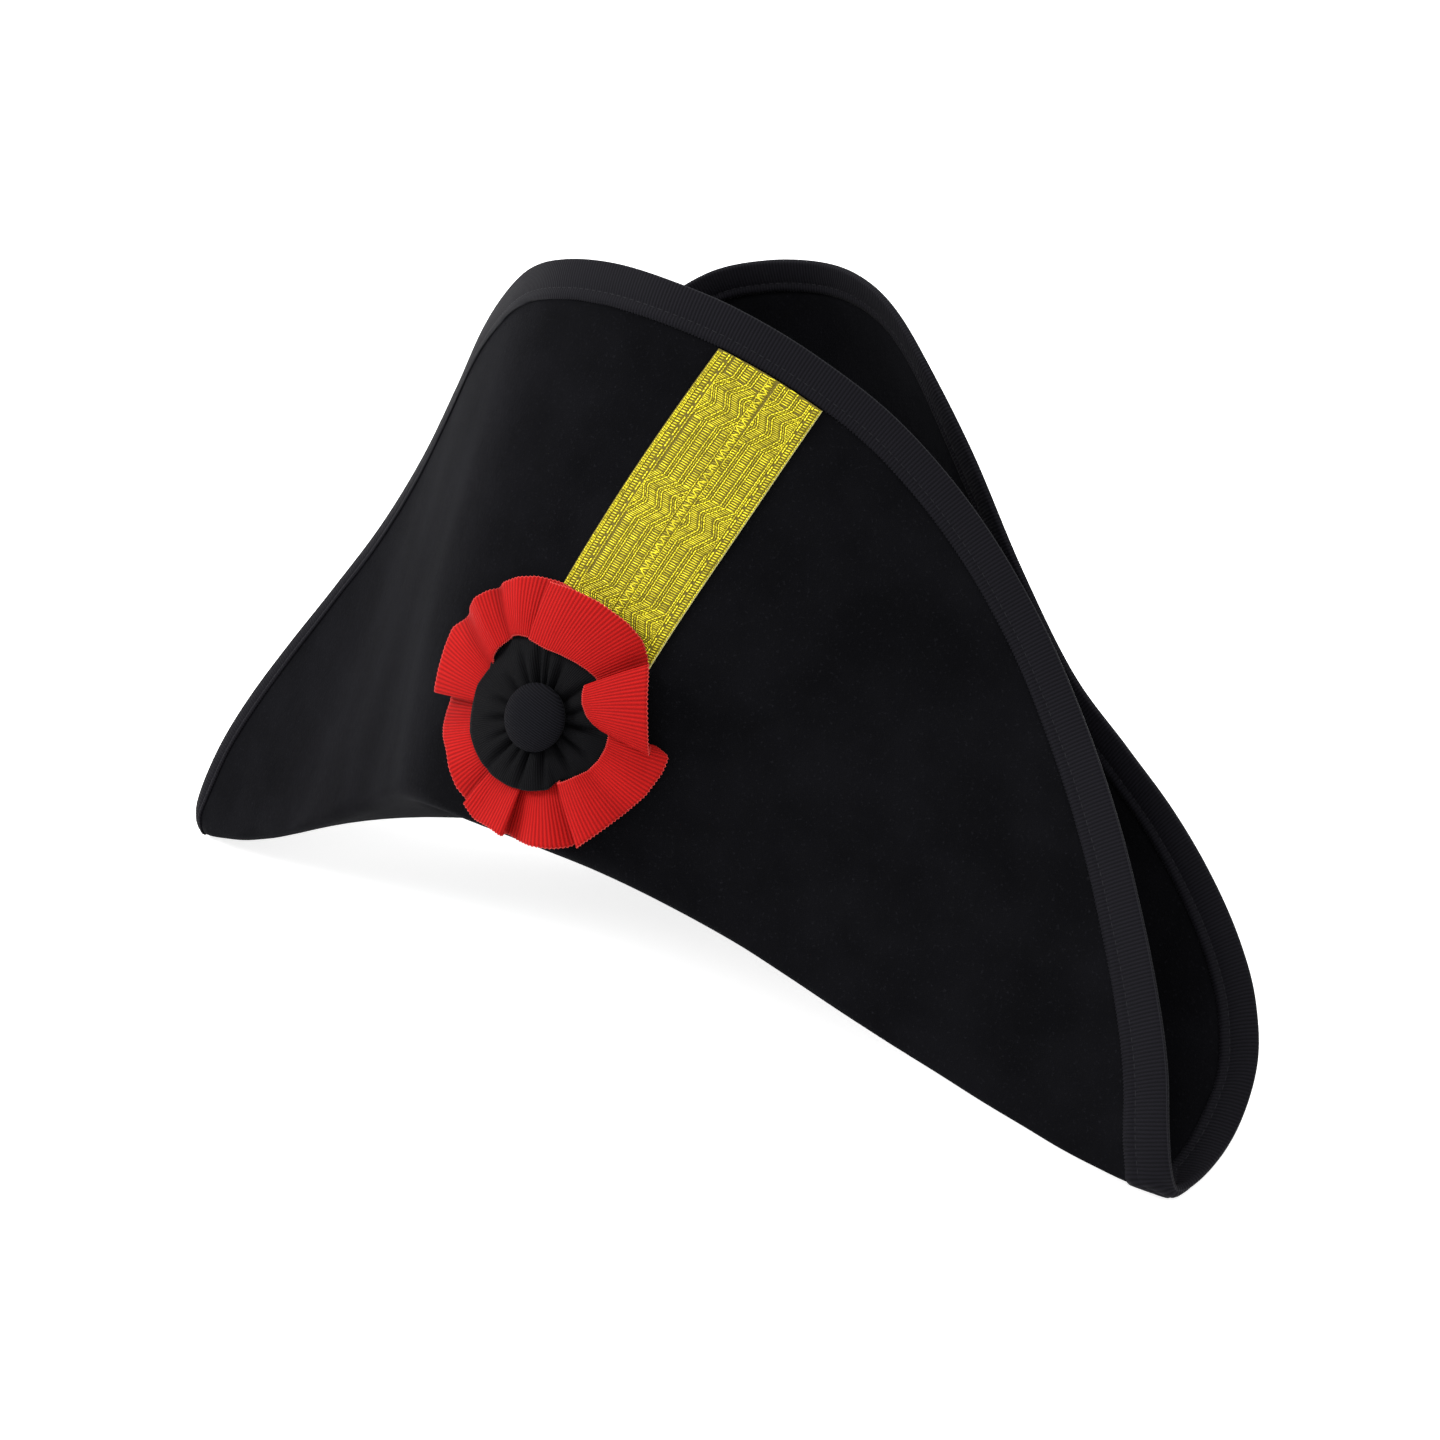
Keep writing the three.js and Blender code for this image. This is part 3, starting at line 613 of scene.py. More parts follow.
def makeBinding():
    _, around = turnsAlongEdge(8)
    ribs = round(around / ribbon["ribPitch"])
    columns = ribs * ribbon["columnsPerRib"]
    turns, _ = turnsAlongEdge(columns)
    outerWide = outerWidth(turns)
    sides = np.array(binding["sides"])
    face, faceNormals, _, faceFree = bindingGrid(turns, outerWide)
    face = settled(face, ribbonSpace)
    back, backNormals, wall, backFree = bindingGrid(turns, 2 * ribbon["width"] - outerWide)
    back = settled(settled(back, ribbonSpace) - wall * backNormals, felt["wall"] / 2)
    along = unit(np.roll(face[0], -1, axis=0) - np.roll(face[0], 1, axis=0))
    edgeOut = face[0] - face[1]
    edgeOut = unit(edgeOut - along * np.sum(edgeOut * along, axis=1, keepdims=True))
    odd = np.where(np.arange(columns) % 2 == 0, 1.0, -1.0)[:, None]
    loops, across, shifts = [], [], []

    # The ribs' places are sheared so that they stay square to the edge
    def side(grid, normals, rises, order, least, free, sign):
        for k in order:
            lifted = grid[k] + normals[k] * rises[k]
            if k == len(sides) - 1:
                lifted = lifted + unit(grid[k] - grid[k - 1]) * free * odd * 0.5 * ribbon["tooth"]
            loops.append(settled(lifted, least))
            across.append((sides[k] + 1.5) * sign)
            shifts.append(np.sum((grid[k] - grid[0]) * along, axis=1))

    middle = 0.5 * (face[0] + back[0])

    def cap(wide, tall, steps, backwards, least):
        for k in range(1, steps):
            angle = math.pi * (1 - k / steps if backwards else k / steps)
            lifted = (middle + faceNormals[0] * (math.cos(angle) * wide)
                      + edgeOut * (math.sin(angle) * tall))
            loops.append(settled(lifted, least))
            across.append(1.5 * math.cos(angle))
            shifts.append(np.zeros(columns))

    rises = bindingRise(sides)
    eases = np.full(len(sides), ribbon["ease"])
    top = len(sides) - 1
    inside = [0, 3, 6, top]
    side(face, faceNormals, rises, range(top, -1, -1), 0, faceFree, 1)
    cap(felt["edgeWall"] / 2 + rises[0], binding["capUp"], ribbon["capRows"], False, 0)
    side(back, -backNormals, rises, range(0, top + 1), 0, backFree, -1)
    side(back, -backNormals, eases, inside[::-1], ribbon["thickness"], backFree, -1)
    cap(felt["edgeWall"] / 2 + ribbon["ease"], ribbon["ease"], 3, True, ribbon["thickness"])
    side(face, faceNormals, eases, inside, ribbon["thickness"], faceFree, 1)
    grid = np.array(loops)
    uv = np.zeros((len(loops), columns, 2))
    uv[:, :, 0] = (np.arange(columns) + 0.5) / ribbon["columnsPerRib"] * ribbon["ribPitch"]
    uv[:, :, 0] += np.array(shifts)
    uv[:, :, 1] = np.array(across)[:, None]
    faces, corners = gridQuads(len(loops), columns, wrapRows=True, wrapCols=True, uvGrid=uv,
                               period=ribs * ribbon["ribPitch"])
    piece = meshObject("ribbonBinding", onTable(grid.reshape(-1, 3)), faces, bindingMaterial, corners)
    finishPiece(piece, "edge_binding")
    stitched = int(np.argmin(np.abs(sides - (ribbon["width"] - ribbon["stitchFromEdge"]))))
    rows = ((face[stitched], faceNormals[stitched]), (back[stitched], -backNormals[stitched]))
    return piece, around, rows


bindingPiece, edgeLength, stitchRows = makeBinding()
print("binding made, edge length", round(edgeLength))


# Geometry Nodes: one small rounded thread on each point, turned along it and out of the cloth
def threadTree(name, material):
    tree = bpy.data.node_groups.new(name, "GeometryNodeTree")
    tree.interface.new_socket("Geometry", in_out="INPUT", socket_type="NodeSocketGeometry")
    for label, value in (("Length", 1.0), ("Width", 1.0), ("Height", 1.0), ("Jitter", 0.1)):
        socket = tree.interface.new_socket(label, in_out="INPUT", socket_type="NodeSocketFloat")
        socket.default_value = value
    for label, value in (("Sides", 6), ("Seed", 3)):
        socket = tree.interface.new_socket(label, in_out="INPUT", socket_type="NodeSocketInt")
        socket.default_value = value
    tree.interface.new_socket("Geometry", in_out="OUTPUT", socket_type="NodeSocketGeometry")

    def add(kind, inputs=None, **settings):
        return addNode(tree, kind, inputs, **settings)

    def named(label):
        return add("GeometryNodeInputNamedAttribute", {"Name": label},
                   data_type="FLOAT_VECTOR").outputs[0]

    given = add("NodeGroupInput").outputs
    points = add("GeometryNodeMeshToPoints", {"Mesh": given["Geometry"]}).outputs[0]
    bead = add("GeometryNodeMeshUVSphere", {"Segments": given["Sides"], "Rings": 4, "Radius": 0.5})
    size = add("ShaderNodeCombineXYZ", {0: given["Length"], 1: given["Width"], 2: given["Height"]})
    full = add("ShaderNodeVectorMath", {0: size.outputs[0], 1: named("size")}, operation="MULTIPLY")
    chance = add("FunctionNodeRandomValue", {"Seed": given["Seed"]}, data_type="FLOAT").outputs[1]
    shift = reckon(tree, "MULTIPLY", reckon(tree, "SUBTRACT", chance, 0.5), given["Jitter"])
    shift = reckon(tree, "ADD", shift, 1.0)
    scaled = add("ShaderNodeVectorMath", {0: full.outputs[0], "Scale": shift}, operation="SCALE")
    first = add("FunctionNodeAlignRotationToVector", {"Vector": named("along")}, axis="X")
    second = add("FunctionNodeAlignRotationToVector",
                 {"Rotation": first.outputs[0], "Vector": named("out")}, axis="Z", pivot_axis="X")
    placed = add("GeometryNodeInstanceOnPoints",
                 {"Points": points, "Instance": bead.outputs[0], "Rotation": second.outputs[0],
                  "Scale": scaled.outputs[0]}).outputs[0]
    whole = add("GeometryNodeRealizeInstances", {0: placed}).outputs[0]
    smooth = add("GeometryNodeSetShadeSmooth", {0: whole}).outputs[0]
    dressed = add("GeometryNodeSetMaterial", {"Geometry": smooth, "Material": material}).outputs[0]
    tree.links.new(dressed, add("NodeGroupOutput").inputs[0])
    return tree


# starts and ends are worn millimetres; sizes has width and height in millimetres
def layThreads(name, starts, ends, out, sizes, material, settings=None, tone=None, overlap=1.12):
    starts, ends = onTable(starts), onTable(ends)
    along = ends - starts
    length = np.linalg.norm(along, axis=1)
    size = np.column_stack([length * overlap, np.asarray(sizes) / 1000.0])
    mesh = bpy.data.meshes.new(name)
    mesh.from_pydata((0.5 * (starts + ends)).tolist(), [], [])
    for label, values in (("along", unit(along)), ("out", turned(out)), ("size", size)):
        layer = mesh.attributes.new(label, "FLOAT_VECTOR", "POINT")
        layer.data.foreach_set("vector", np.asarray(values, np.float32).ravel())
    layer = mesh.attributes.new("tone", "FLOAT", "POINT")
    tones = np.full(len(length), 0.5) if tone is None else tone
    layer.data.foreach_set("value", np.asarray(tones, np.float32))
    thing = addObject(name, mesh)
    modifier = thing.modifiers.new("threads", "NODES")
    modifier.node_group = threadTree(name + "Tree", material)
    for item in modifier.node_group.interface.items_tree:
        if item.in_out == "INPUT" and settings and item.name in settings:
            modifier[item.identifier] = settings[item.name]
    graph = bpy.context.evaluated_depsgraph_get()
    made = bpy.data.meshes.new_from_object(thing.evaluated_get(graph), depsgraph=graph)
    thing.modifiers.clear()
    thing.data = made
    made.name = name
    return thing


threadMaterial, _ = makeMaterial("blackThread", (0.008, 0.008, 0.01), 0.6, 0.12)


# Stitch line along the binding, on the front and the back of the flaps
def makeStitches():
    rise = float(bindingRise(ribbon["width"] - ribbon["stitchFromEdge"])) - 0.02
    columns = len(stitchRows[0][0])
    count = int(edgeLength / binding["stitchStep"])
    middle = (np.arange(count) + 0.5) / count * columns
    half = 0.5 * binding["stitchLength"] / edgeLength * columns
    starts, ends, out = [], [], []
    for line, normals in stitchRows:
        lifted = settled(line + normals * rise, 0.1)
        lifted = np.vstack([lifted, lifted[:1]])
        closed = np.vstack([normals, normals[:1]])

        def read(values, place):
            place = np.mod(place, columns)
            return np.column_stack([np.interp(place, np.arange(columns + 1), values[:, k])
                                    for k in range(3)])

        starts.append(read(lifted, middle - half))
        ends.append(read(lifted, middle + half))
        out.append(read(closed, middle))
    sizes = np.tile(binding["stitchSize"], (2 * count, 1))
    piece = layThreads("bindingStitches", np.vstack(starts), np.vstack(ends), np.vstack(out), sizes,
                       threadMaterial, {"Jitter": 0.15, "Seed": 5})
    return finishPiece(piece, None)


stitches = makeStitches()
print("binding stitched")


# Place on the front flap's outer face at a given X and height: its station and level
def flapPlace(x, z, rounds=12):
    turn, level, step = np.full(x.shape, 0.1), np.full(x.shape, 2.5), 1e-3
    for _ in range(rounds):
        at = stationsAt(turn)
        here = outerFace(at, level)
        byTurn = (outerFace(stationsAt(turn + step), level) - here) / step
        byLevel = (outerFace(at, level + step) - here) / step
        missX, missZ = x - here[:, 0], z - here[:, 2]
        scale = byTurn[:, 0] * byLevel[:, 2] - byLevel[:, 0] * byTurn[:, 2]
        turn = turn + (missX * byLevel[:, 2] - byLevel[:, 0] * missZ) / scale
        level = np.clip(level + (byTurn[:, 0] * missZ - missX * byTurn[:, 2]) / scale, 1.6, 2.99)
    return turn, level


# Points lifted off the front flap, and its normals. Below sagZ the trimmings hang straight down
def onFlap(x, z, lift, sagZ=62.0):
    x, z, lift = (np.asarray(v, float).ravel() for v in np.broadcast_arrays(x, z, lift))
    low = np.maximum(z, sagZ)
    turn, level = flapPlace(x, low)
    at = stationsAt(turn)
    point = outerFace(at, level)
    byTurn = outerFace(stationsAt(turn + 0.01), level) - point
    byLevel = outerFace(at, level + 0.01) - point
    normal = unit(np.cross(byTurn, byLevel))
    normal[normal[:, 1] > 0] *= -1
    point[:, 2] += z - low
    return point + normal * lift[:, None], normal


# Gold braid across the front flap, from under the cockade up to the binding
braid = {"leftFoot": [7.6, 112.7], "leftTop": [49.0, 233.6], "rightFoot": [49.3, 103.4],
         "rightTop": [83.2, 222], "width": 43.0, "length": 126.0, "seat": 0.3, "thickness": 0.7,
         "columns": 44, "rows": 130, "apart": 0.5, "patternFrom": 22.0}


def braidXZ(u, v):
    share = np.asarray(u, float) / braid["width"] + 0.5
    t = np.asarray(v, float) / braid["length"]
    return [lerp(lerp(braid["leftFoot"][k], braid["rightFoot"][k], share),
                 lerp(braid["leftTop"][k], braid["rightTop"][k], share), t) for k in (0, 1)]


# Where each lengthwise line of the braid meets the ribbon's lower edge
def braidEnds(u):
    tries = np.linspace(0.8, 1.1, 16) * braid["length"]
    across, along = np.meshgrid(u, tries)
    x, z = braidXZ(across.ravel(), along.ravel())
    turn, level = flapPlace(x, z)
    at = stationsAt(turn)
    limit = levelsFromEdge(at, ribbonReach(at, outerWidth(turn) + braid["apart"])[None, :])[0]
    over = (level - limit).reshape(across.shape)
    return np.array([np.interp(0.0, over[:, k], tries) for k in range(len(u))])


def onBraid(u, v, lift):
    return onFlap(*braidXZ(u, v), lift)


def makeBraidMaterials():
    base, shader = makeMaterial("goldWeave", (0.3, 0.25, 0.016), 0.5, 0.25, 0.15)
    u, v = clothPlace(base)
    crossing = reckon(base, "MULTIPLY", ripple(base, u, 0.55), ripple(base, v, 0.42))
    cells = spread(base, crossing, -1, 1)
    grain = noiseOn(base, 1800, 3)
    # Painted shade: the low weave cells take the darker gold, the raised cells the lighter gold; the same
    # cells give the bump
    deep = mixColors(base, cells, (0.035, 0.026, 0.001), (0.17, 0.135, 0.004))
    tinted = mixColors(base, spread(base, grain, 0.3, 0.7, 0.0, 0.5), deep, (0.22, 0.17, 0.01))
    rim = spread(base, u, 21.15, 21.3)
    dress(base, shader, mixColors(base, rim, tinted, (0.5, 0.46, 0.17)), addBump(base, cells, 0.00015))
    thread, shader = makeMaterial("goldThread", (0.42, 0.35, 0.02), 0.42, 0.3, 0.2)
    tone = addNode(thread, "ShaderNodeAttribute", attribute_name="tone").outputs["Fac"]
    grain = noiseOn(thread, 2600, 3)
    color = mixColors(thread, tone, (0.25, 0.205, 0.003), (0.98, 0.87, 0.025))
    color = mixColors(thread, spread(thread, grain, 0.45, 0.8, 0.0, 0.6), color, (0.15, 0.115, 0.005))
    dress(thread, shader, color, addBump(thread, grain, 0.0001))
    return base, thread


goldWeave, goldThread = makeBraidMaterials()


def makeBraid():
    u = np.linspace(-0.5, 0.5, braid["columns"] + 1) * braid["width"]
    ends = braidEnds(u)
    shares = np.linspace(0, 1, braid["rows"] + 1)
    across = np.tile(u, (len(shares), 1))
    along = shares[:, None] * ends[None, :]
    size = across.size
    faces, corners = gridQuads(len(shares), len(u), uvGrid=np.dstack([across, along]))
    lower, _ = onBraid(across, along, braid["seat"])
    upper, _ = onBraid(across, along, braid["seat"] + braid["thickness"])
    allFaces = faces + [tuple(size + k for k in reversed(face)) for face in faces]
    allCorners = list(corners)
    for k in range(0, len(corners), 4):
        allCorners += corners[k:k + 4][::-1]
    rows, cols = len(shares), len(u)
    rim = ([(0, c) for c in range(cols - 1)] + [(r, cols - 1) for r in range(rows - 1)]
           + [(rows - 1, c) for c in range(cols - 1, 0, -1)] + [(r, 0) for r in range(rows - 1, 0, -1)])
    for k, (r, c) in enumerate(rim):
        r2, c2 = rim[(k + 1) % len(rim)]
        a, b = r * cols + c, r2 * cols + c2
        allFaces.append((a, b, size + b, size + a))
        allCorners += [(across[r, c], along[r, c]), (across[r2, c2], along[r2, c2])] * 2
    piece = meshObject("galonBraid", onTable(np.vstack([lower, upper])), allFaces, goldWeave, allCorners)
    return finishPiece(piece, "galon_strap"), u, ends


braidPiece, braidU, braidTop = makeBraid()
print("braid made, length", round(float(braidTop.mean()), 1))


# Raised threads of the braid, across (u) and up (v) in millimetres. In each half, columns of rungs
# with twisted cords between them run straight for a block, then jog sideways by one column
weave = {"rungPitch": 0.87, "jogPitch": 0.64, "beadPitch": 0.95, "borderPitch": 0.98,
         "halves": [{"from": -15.9, "to": 0.0, "first": -14.5, "period": 5.75, "rung": 3.2},
                    {"from": 3.95, "to": 17.3, "first": 2.7, "period": 5.35, "rung": 3.0}],
         "jogs": [[22.0, 39.4], [63.2, 80.9], [103.0, 120.5]],
         "cords": [-20.9, -20.3, -19.8, -15.5, 0.1, 3.9, 17.4, 21.0],
         "chains": [-16.7, 18.2], "holePitch": 4.4,
         "borders": [[-19.4, -17.3], [18.75, 20.6]],
         "zigPitch": 3.2, "zigWide": 1.5, "zigMiddle": [[100, 2.05], [125, 1.0]], "seed": 11}


# Sideways shift of the columns, as a share of their period
def jogShift(v):
    shift = np.zeros_like(v)
    for low, high in weave["jogs"]:
        inside = (v > low) & (v < high)
        done = (high - v) / (high - low)
        shift = np.where(inside, np.interp(done, [0, 0.3, 0.6, 1], [0, -0.8, -0.25, -1]), shift)
    return shift


def makeBraidThreads():
    rng = np.random.default_rng(weave["seed"])
    longest = float(braidTop.max())
    rows = []

    # Threads from (u0, v0) to (u1, v1), with width and brightness
    def lay(u0, v0, u1, v1, width, tone, vary=0.2):
        u0, v0, u1, v1 = np.broadcast_arrays(*(np.asarray(k, float) for k in (u0, v0, u1, v1)))
        tones = np.clip(tone + rng.normal(0, vary, u0.shape), 0, 1)
        rows.append(np.column_stack([u0, v0, u1, v1, np.full(u0.shape, width), tones]))

    def cord(place, low, high, width, tone):
        v = np.arange(braid["patternFrom"], longest, weave["beadPitch"])
        ahead = v + weave["beadPitch"]
        u, after = place(v), place(ahead)
        after = np.where(np.abs(after - u) > 1.2, u, after)
        keep = (u > low) & (u < high) & (after > low) & (after < high)
        twist = np.where(np.arange(len(v)) % 2 == 0, 0.1, -0.1)
        lay((u + twist)[keep], v[keep], (after - twist)[keep], ahead[keep], width, tone)

    for half in weave["halves"]:
        for k in range(4):
            def left(v, k=k):
                return half["first"] + half["period"] * (k + jogShift(v))

            for pitch, jogging in ((weave["rungPitch"], False), (weave["jogPitch"], True)):
                v = np.arange(braid["patternFrom"], longest, pitch)
                v = v[(jogShift(v) != 0) == jogging]
                a = np.clip(left(v), half["from"], half["to"])
                b = np.clip(left(v) + half["rung"], half["from"], half["to"])
                keep = b - a > 0.5
                sway = rng.normal(0, 0.08, len(v))
                lay(a[keep], v[keep], b[keep], (v + sway)[keep], 0.36 if jogging else 0.46, 0.62)
            for offset, width, tone in ((0.4, 0.5, 0.9), (1.25, 0.42, 0.3), (2.1, 0.5, 0.9)):
                cord(lambda v, o=offset: left(v) + half["rung"] + o, half["from"], half["to"],
                     width, tone)
    for u in weave["cords"]:
        cord(lambda v, u=u: np.full_like(v, u), -22, 22, 0.5, 0.55)
    for u in weave["chains"]:
        v = np.arange(braid["patternFrom"], longest, 1.1)
        v = v[np.mod(v, weave["holePitch"]) > 0.9]
        lay(np.full_like(v, u), v, np.full_like(v, u + 0.1), v + 1.1, 0.62, 0.95, 0.05)
    v = np.arange(braid["patternFrom"], longest, weave["rungPitch"])
    middle = np.interp(v, *zip(*weave["zigMiddle"]))
    lay(middle - 1.6, v, middle + 1.6, v + 0.3, 0.5, 0.4)
    for a, b in weave["borders"]:
        v = np.arange(braid["patternFrom"], longest, weave["borderPitch"])
        lay(np.full_like(v, a), v, np.full_like(v, b), v + 0.25, 0.52, 0.6)
    v = np.arange(braid["patternFrom"], longest, weave["zigPitch"] / 2)
    middle = np.interp(v, *zip(*weave["zigMiddle"]))
    swing = np.where(np.arange(len(v)) % 2 == 0, weave["zigWide"], -weave["zigWide"])
    swing = swing * rng.uniform(0.8, 1.1, len(v))
    lay((middle + swing)[:-1], v[:-1], (middle + swing)[1:], v[1:], 0.5, 0.75, 0.15)
    u0, v0, u1, v1, wide, tone = np.vstack(rows).T
    top = np.interp(0.5 * (u0 + u1), braidU, braidTop)
    keep = np.maximum(v0, v1) < top
    u0, v0, u1, v1, wide, tone = (values[keep] for values in (u0, v0, u1, v1, wide, tone))
    lift = braid["seat"] + braid["thickness"] + 0.02
    starts, out = onBraid(u0, v0, lift)
    ends, _ = onBraid(u1, v1, lift)
    sizes = np.column_stack([wide, 0.25 + 0.6 * wide])
    piece = layThreads("braidThreads", starts, ends, out, sizes, goldThread,
                       {"Jitter": 0.12, "Seed": 9, "Sides": 5}, tone)
    return finishPiece(piece, None)


braidThreads = makeBraidThreads()
print("braid threads laid")

# Cockade: red pleated ribbon, black gathered ribbon and a covered button
cockade = {"x": 23.0, "z": 96.1}
# hollowReach, hollowDepth and shade set the painted shade in the red ribbon's valleys
redRibbon = {"thickness": 0.5, "rows": 18, "ribPitch": 1.1, "smooth": 0.75, "bulge": 0.6, "tooth": 0.4,
             "hollowReach": 3.5, "hollowDepth": 3.5, "width": 24.0, "shade": 0.75}
# Keys along the red ribbon, anticlockwise round the button. Where the angle runs back, the ribbon
# is folded under itself. Angles in degrees, radii and heights over the felt in millimetres
redColumns = ["outerDeg", "innerDeg", "outerRadius", "innerRadius", "outerHigh", "innerHigh"]
redKeys = [
    [-3, 4, 38.8, 23.8, 8, 6.6], [3, 10, 38, 20.6, 9.8, 8], [10, 17, 37.7, 18.9, 10.8, 8.6],
    [26, 30, 38.9, 18.3, 10.6, 8.8], [35, 39, 41.2, 19.4, 9.6, 8.6], [41, 46, 43.2, 21.4, 8.4, 8],
    [38.5, 44, 41, 22.5, 5.6, 6.2], [36.5, 42, 39.6, 24, 2.6, 4.6], [43, 47, 42.6, 25.2, 2.4, 4.4],
    [51, 57, 45.4, 24.6, 5.6, 5.6], [60, 68, 46, 23.9, 7.6, 6.6], [73, 80, 46, 23.6, 8.8, 7.4],
    [85, 93, 46.1, 23.8, 9.8, 8], [96, 107.5, 46.5, 26.8, 9.6, 8.6], [93, 104.5, 46.2, 26.4, 5.6, 6.2],
    [90, 101, 46, 26.4, 1.8, 4.2], [98, 108, 47.5, 26.8, 1.6, 4], [106, 114, 48.8, 28.2, 4.8, 5.2],
    [114, 120, 49.3, 29.6, 7, 5.6], [123, 126, 49.8, 30.6, 6, 5], [129.5, 129.5, 50.8, 30.6, 1.8, 3.8],
    [132.5, 133.5, 51, 30, 5.2, 4.8], [137, 140, 50, 29.6, 8.6, 5.8], [142.5, 147, 49.8, 29.4, 7, 5],
    [147, 152, 51, 28.6, 3.6, 3.6], [151, 156, 52.6, 26.6, 2.4, 2.6], [156, 160, 53, 24.6, 5.4, 2.6],
    [163, 167, 49, 23.4, 8, 3], [172, 174, 46.6, 23, 9.2, 3.2], [179, 179, 46.2, 22.8, 9, 3],
    [183, 181.5, 47.4, 22.6, 8, 2.8], [180.5, 180.5, 46.6, 22.6, 5, 2.2],
    [178, 179.5, 46, 22.6, 1.8, 1.4], [184, 185, 46.2, 22.4, 1, 1.2], [190, 191, 47.3, 22, 1.4, 1.2],
    [196, 198, 46, 21.6, 3.4, 1.6], [202, 205, 43.2, 21.4, 6, 2], [209, 212, 40.6, 21.2, 7.4, 2.2],
    [219, 219, 40.8, 21, 7.8, 2.2], [228, 226, 42.2, 21, 6, 2], [235, 232, 42.8, 21, 3, 1.5],
    [239, 236, 43, 21, 1.8, 1.2], [238.5, 236.5, 42.2, 21.2, 4.8, 2.2], [239, 236, 41.2, 21.4, 8, 3.2],
    [248, 246, 42.9, 21.4, 6.2, 2.8], [258, 257, 41.6, 21.4, 6.6, 2.8],
    [268, 269, 42.4, 21.4, 7.8, 3.2], [266, 267, 42, 21.4, 4.8, 2.2],
    [264.5, 265.5, 41.8, 21.4, 1.8, 1.4], [273, 274, 42.9, 21.4, 2.6, 1.8],
    [281, 281, 43.8, 21.4, 5.2, 2.4], [290, 289, 44.6, 21.4, 5.4, 2.4],
    [297, 297, 44.8, 21.4, 2.8, 1.8], [303, 304, 43.2, 21.6, 1.2, 1.4],
    [302.5, 303.5, 44.4, 22.4, 4.8, 3.4], [301.5, 302, 45.7, 23.4, 8.4, 5.4],
    [307, 309, 44.2, 23.6, 9.2, 5.8], [314, 317, 42.9, 23.8, 8.2, 5.8], [326, 328, 42, 24.6, 4.8, 3.6],
    [339, 341, 42.7, 25.4, 6.2, 5], [351, 352, 43.4, 25.4, 4.4, 4.4], [359, 359, 43.8, 25.2, 4.4, 4.4],
    [361, 363.5, 41, 25, 3.8, 4.2], [363, 366, 38, 25, 3.2, 4.2], [359, 365.5, 38.2, 24.6, 5.6, 5.4],
]


# A ring of values smoothed over a reach in millimetres, at equal steps
def softened(ring, step, reach):
    offsets = np.arange(-int(math.ceil(3 * reach / step)), int(math.ceil(3 * reach / step)) + 1)
    weights = np.exp(-0.5 * (offsets * step / reach) ** 2)
    return sum(w * np.roll(ring, -o, axis=0) for w, o in zip(weights / weights.sum(), offsets))


# Outer and inner edge of the red ribbon at equal steps, round the button's middle
def redEdges(step):
    table = dict(zip(redColumns, np.array(redKeys + redKeys[:1], float).T))
    rounds = []
    for edge in ("outer", "inner"):
        angle, radius, high = (table[edge + part] for part in ("Deg", "Radius", "High"))
        angle = np.radians(angle)
        rounds.append(np.column_stack([radius * np.cos(angle), radius * np.sin(angle), high]))
    steps = 0.5 * sum(np.linalg.norm(np.diff(edge, axis=0), axis=1) for edge in rounds)
    far = np.concatenate([[0], np.cumsum(steps)])
    count = 2 * round(far[-1] / step / 2)
    places = np.arange(count) / count * far[-1]
    even = [np.column_stack([np.interp(places, far, edge[:, k]) for k in range(3)]) for edge in rounds]
    return [softened(edge, step, redRibbon["smooth"]) for edge in even], far[-1]


# A thin closed band between a top and a bottom grid (rows across the ribbon, columns along it)
def bandPiece(name, top, under, uvTop, period, material):
    loops = np.vstack([top, under[::-1]])
    uv = np.vstack([uvTop, uvTop[::-1]])
    faces, corners = gridQuads(len(loops), loops.shape[1], wrapRows=True, wrapCols=True,
                               uvGrid=uv, period=period)
    return meshObject(name, onTable(loops.reshape(-1, 3)), faces, material, corners)


# Red colours: top, a darker groove colour as painted shade in the rib valleys, a lighter colour along
# both edges as painted highlight, and painted shade in the valleys between folds
redMaterial = makeGrosgrain("redGrosgrain", (0.38, 0.0055, 0.0045), (0.19, 0.002, 0.002),
                            (0.5, 0.045, 0.04), redRibbon["ribPitch"],
                            [(0.0, 0.3), (redRibbon["width"], 0.3)], 0.75, 0.08, shade=redRibbon["shade"])


# Top and bottom of a ribbon, from its places round the cockade's middle and its heights
def ruffleFaces(spots, lifts, thickness):
    place, _ = onFlap(cockade["x"] + spots[..., 0], cockade["z"] + spots[..., 1], lifts)
    middle = place.reshape(*lifts.shape, 3)
    half = 0.5 * thickness * gridNormals(middle)
    return middle + half, middle - half


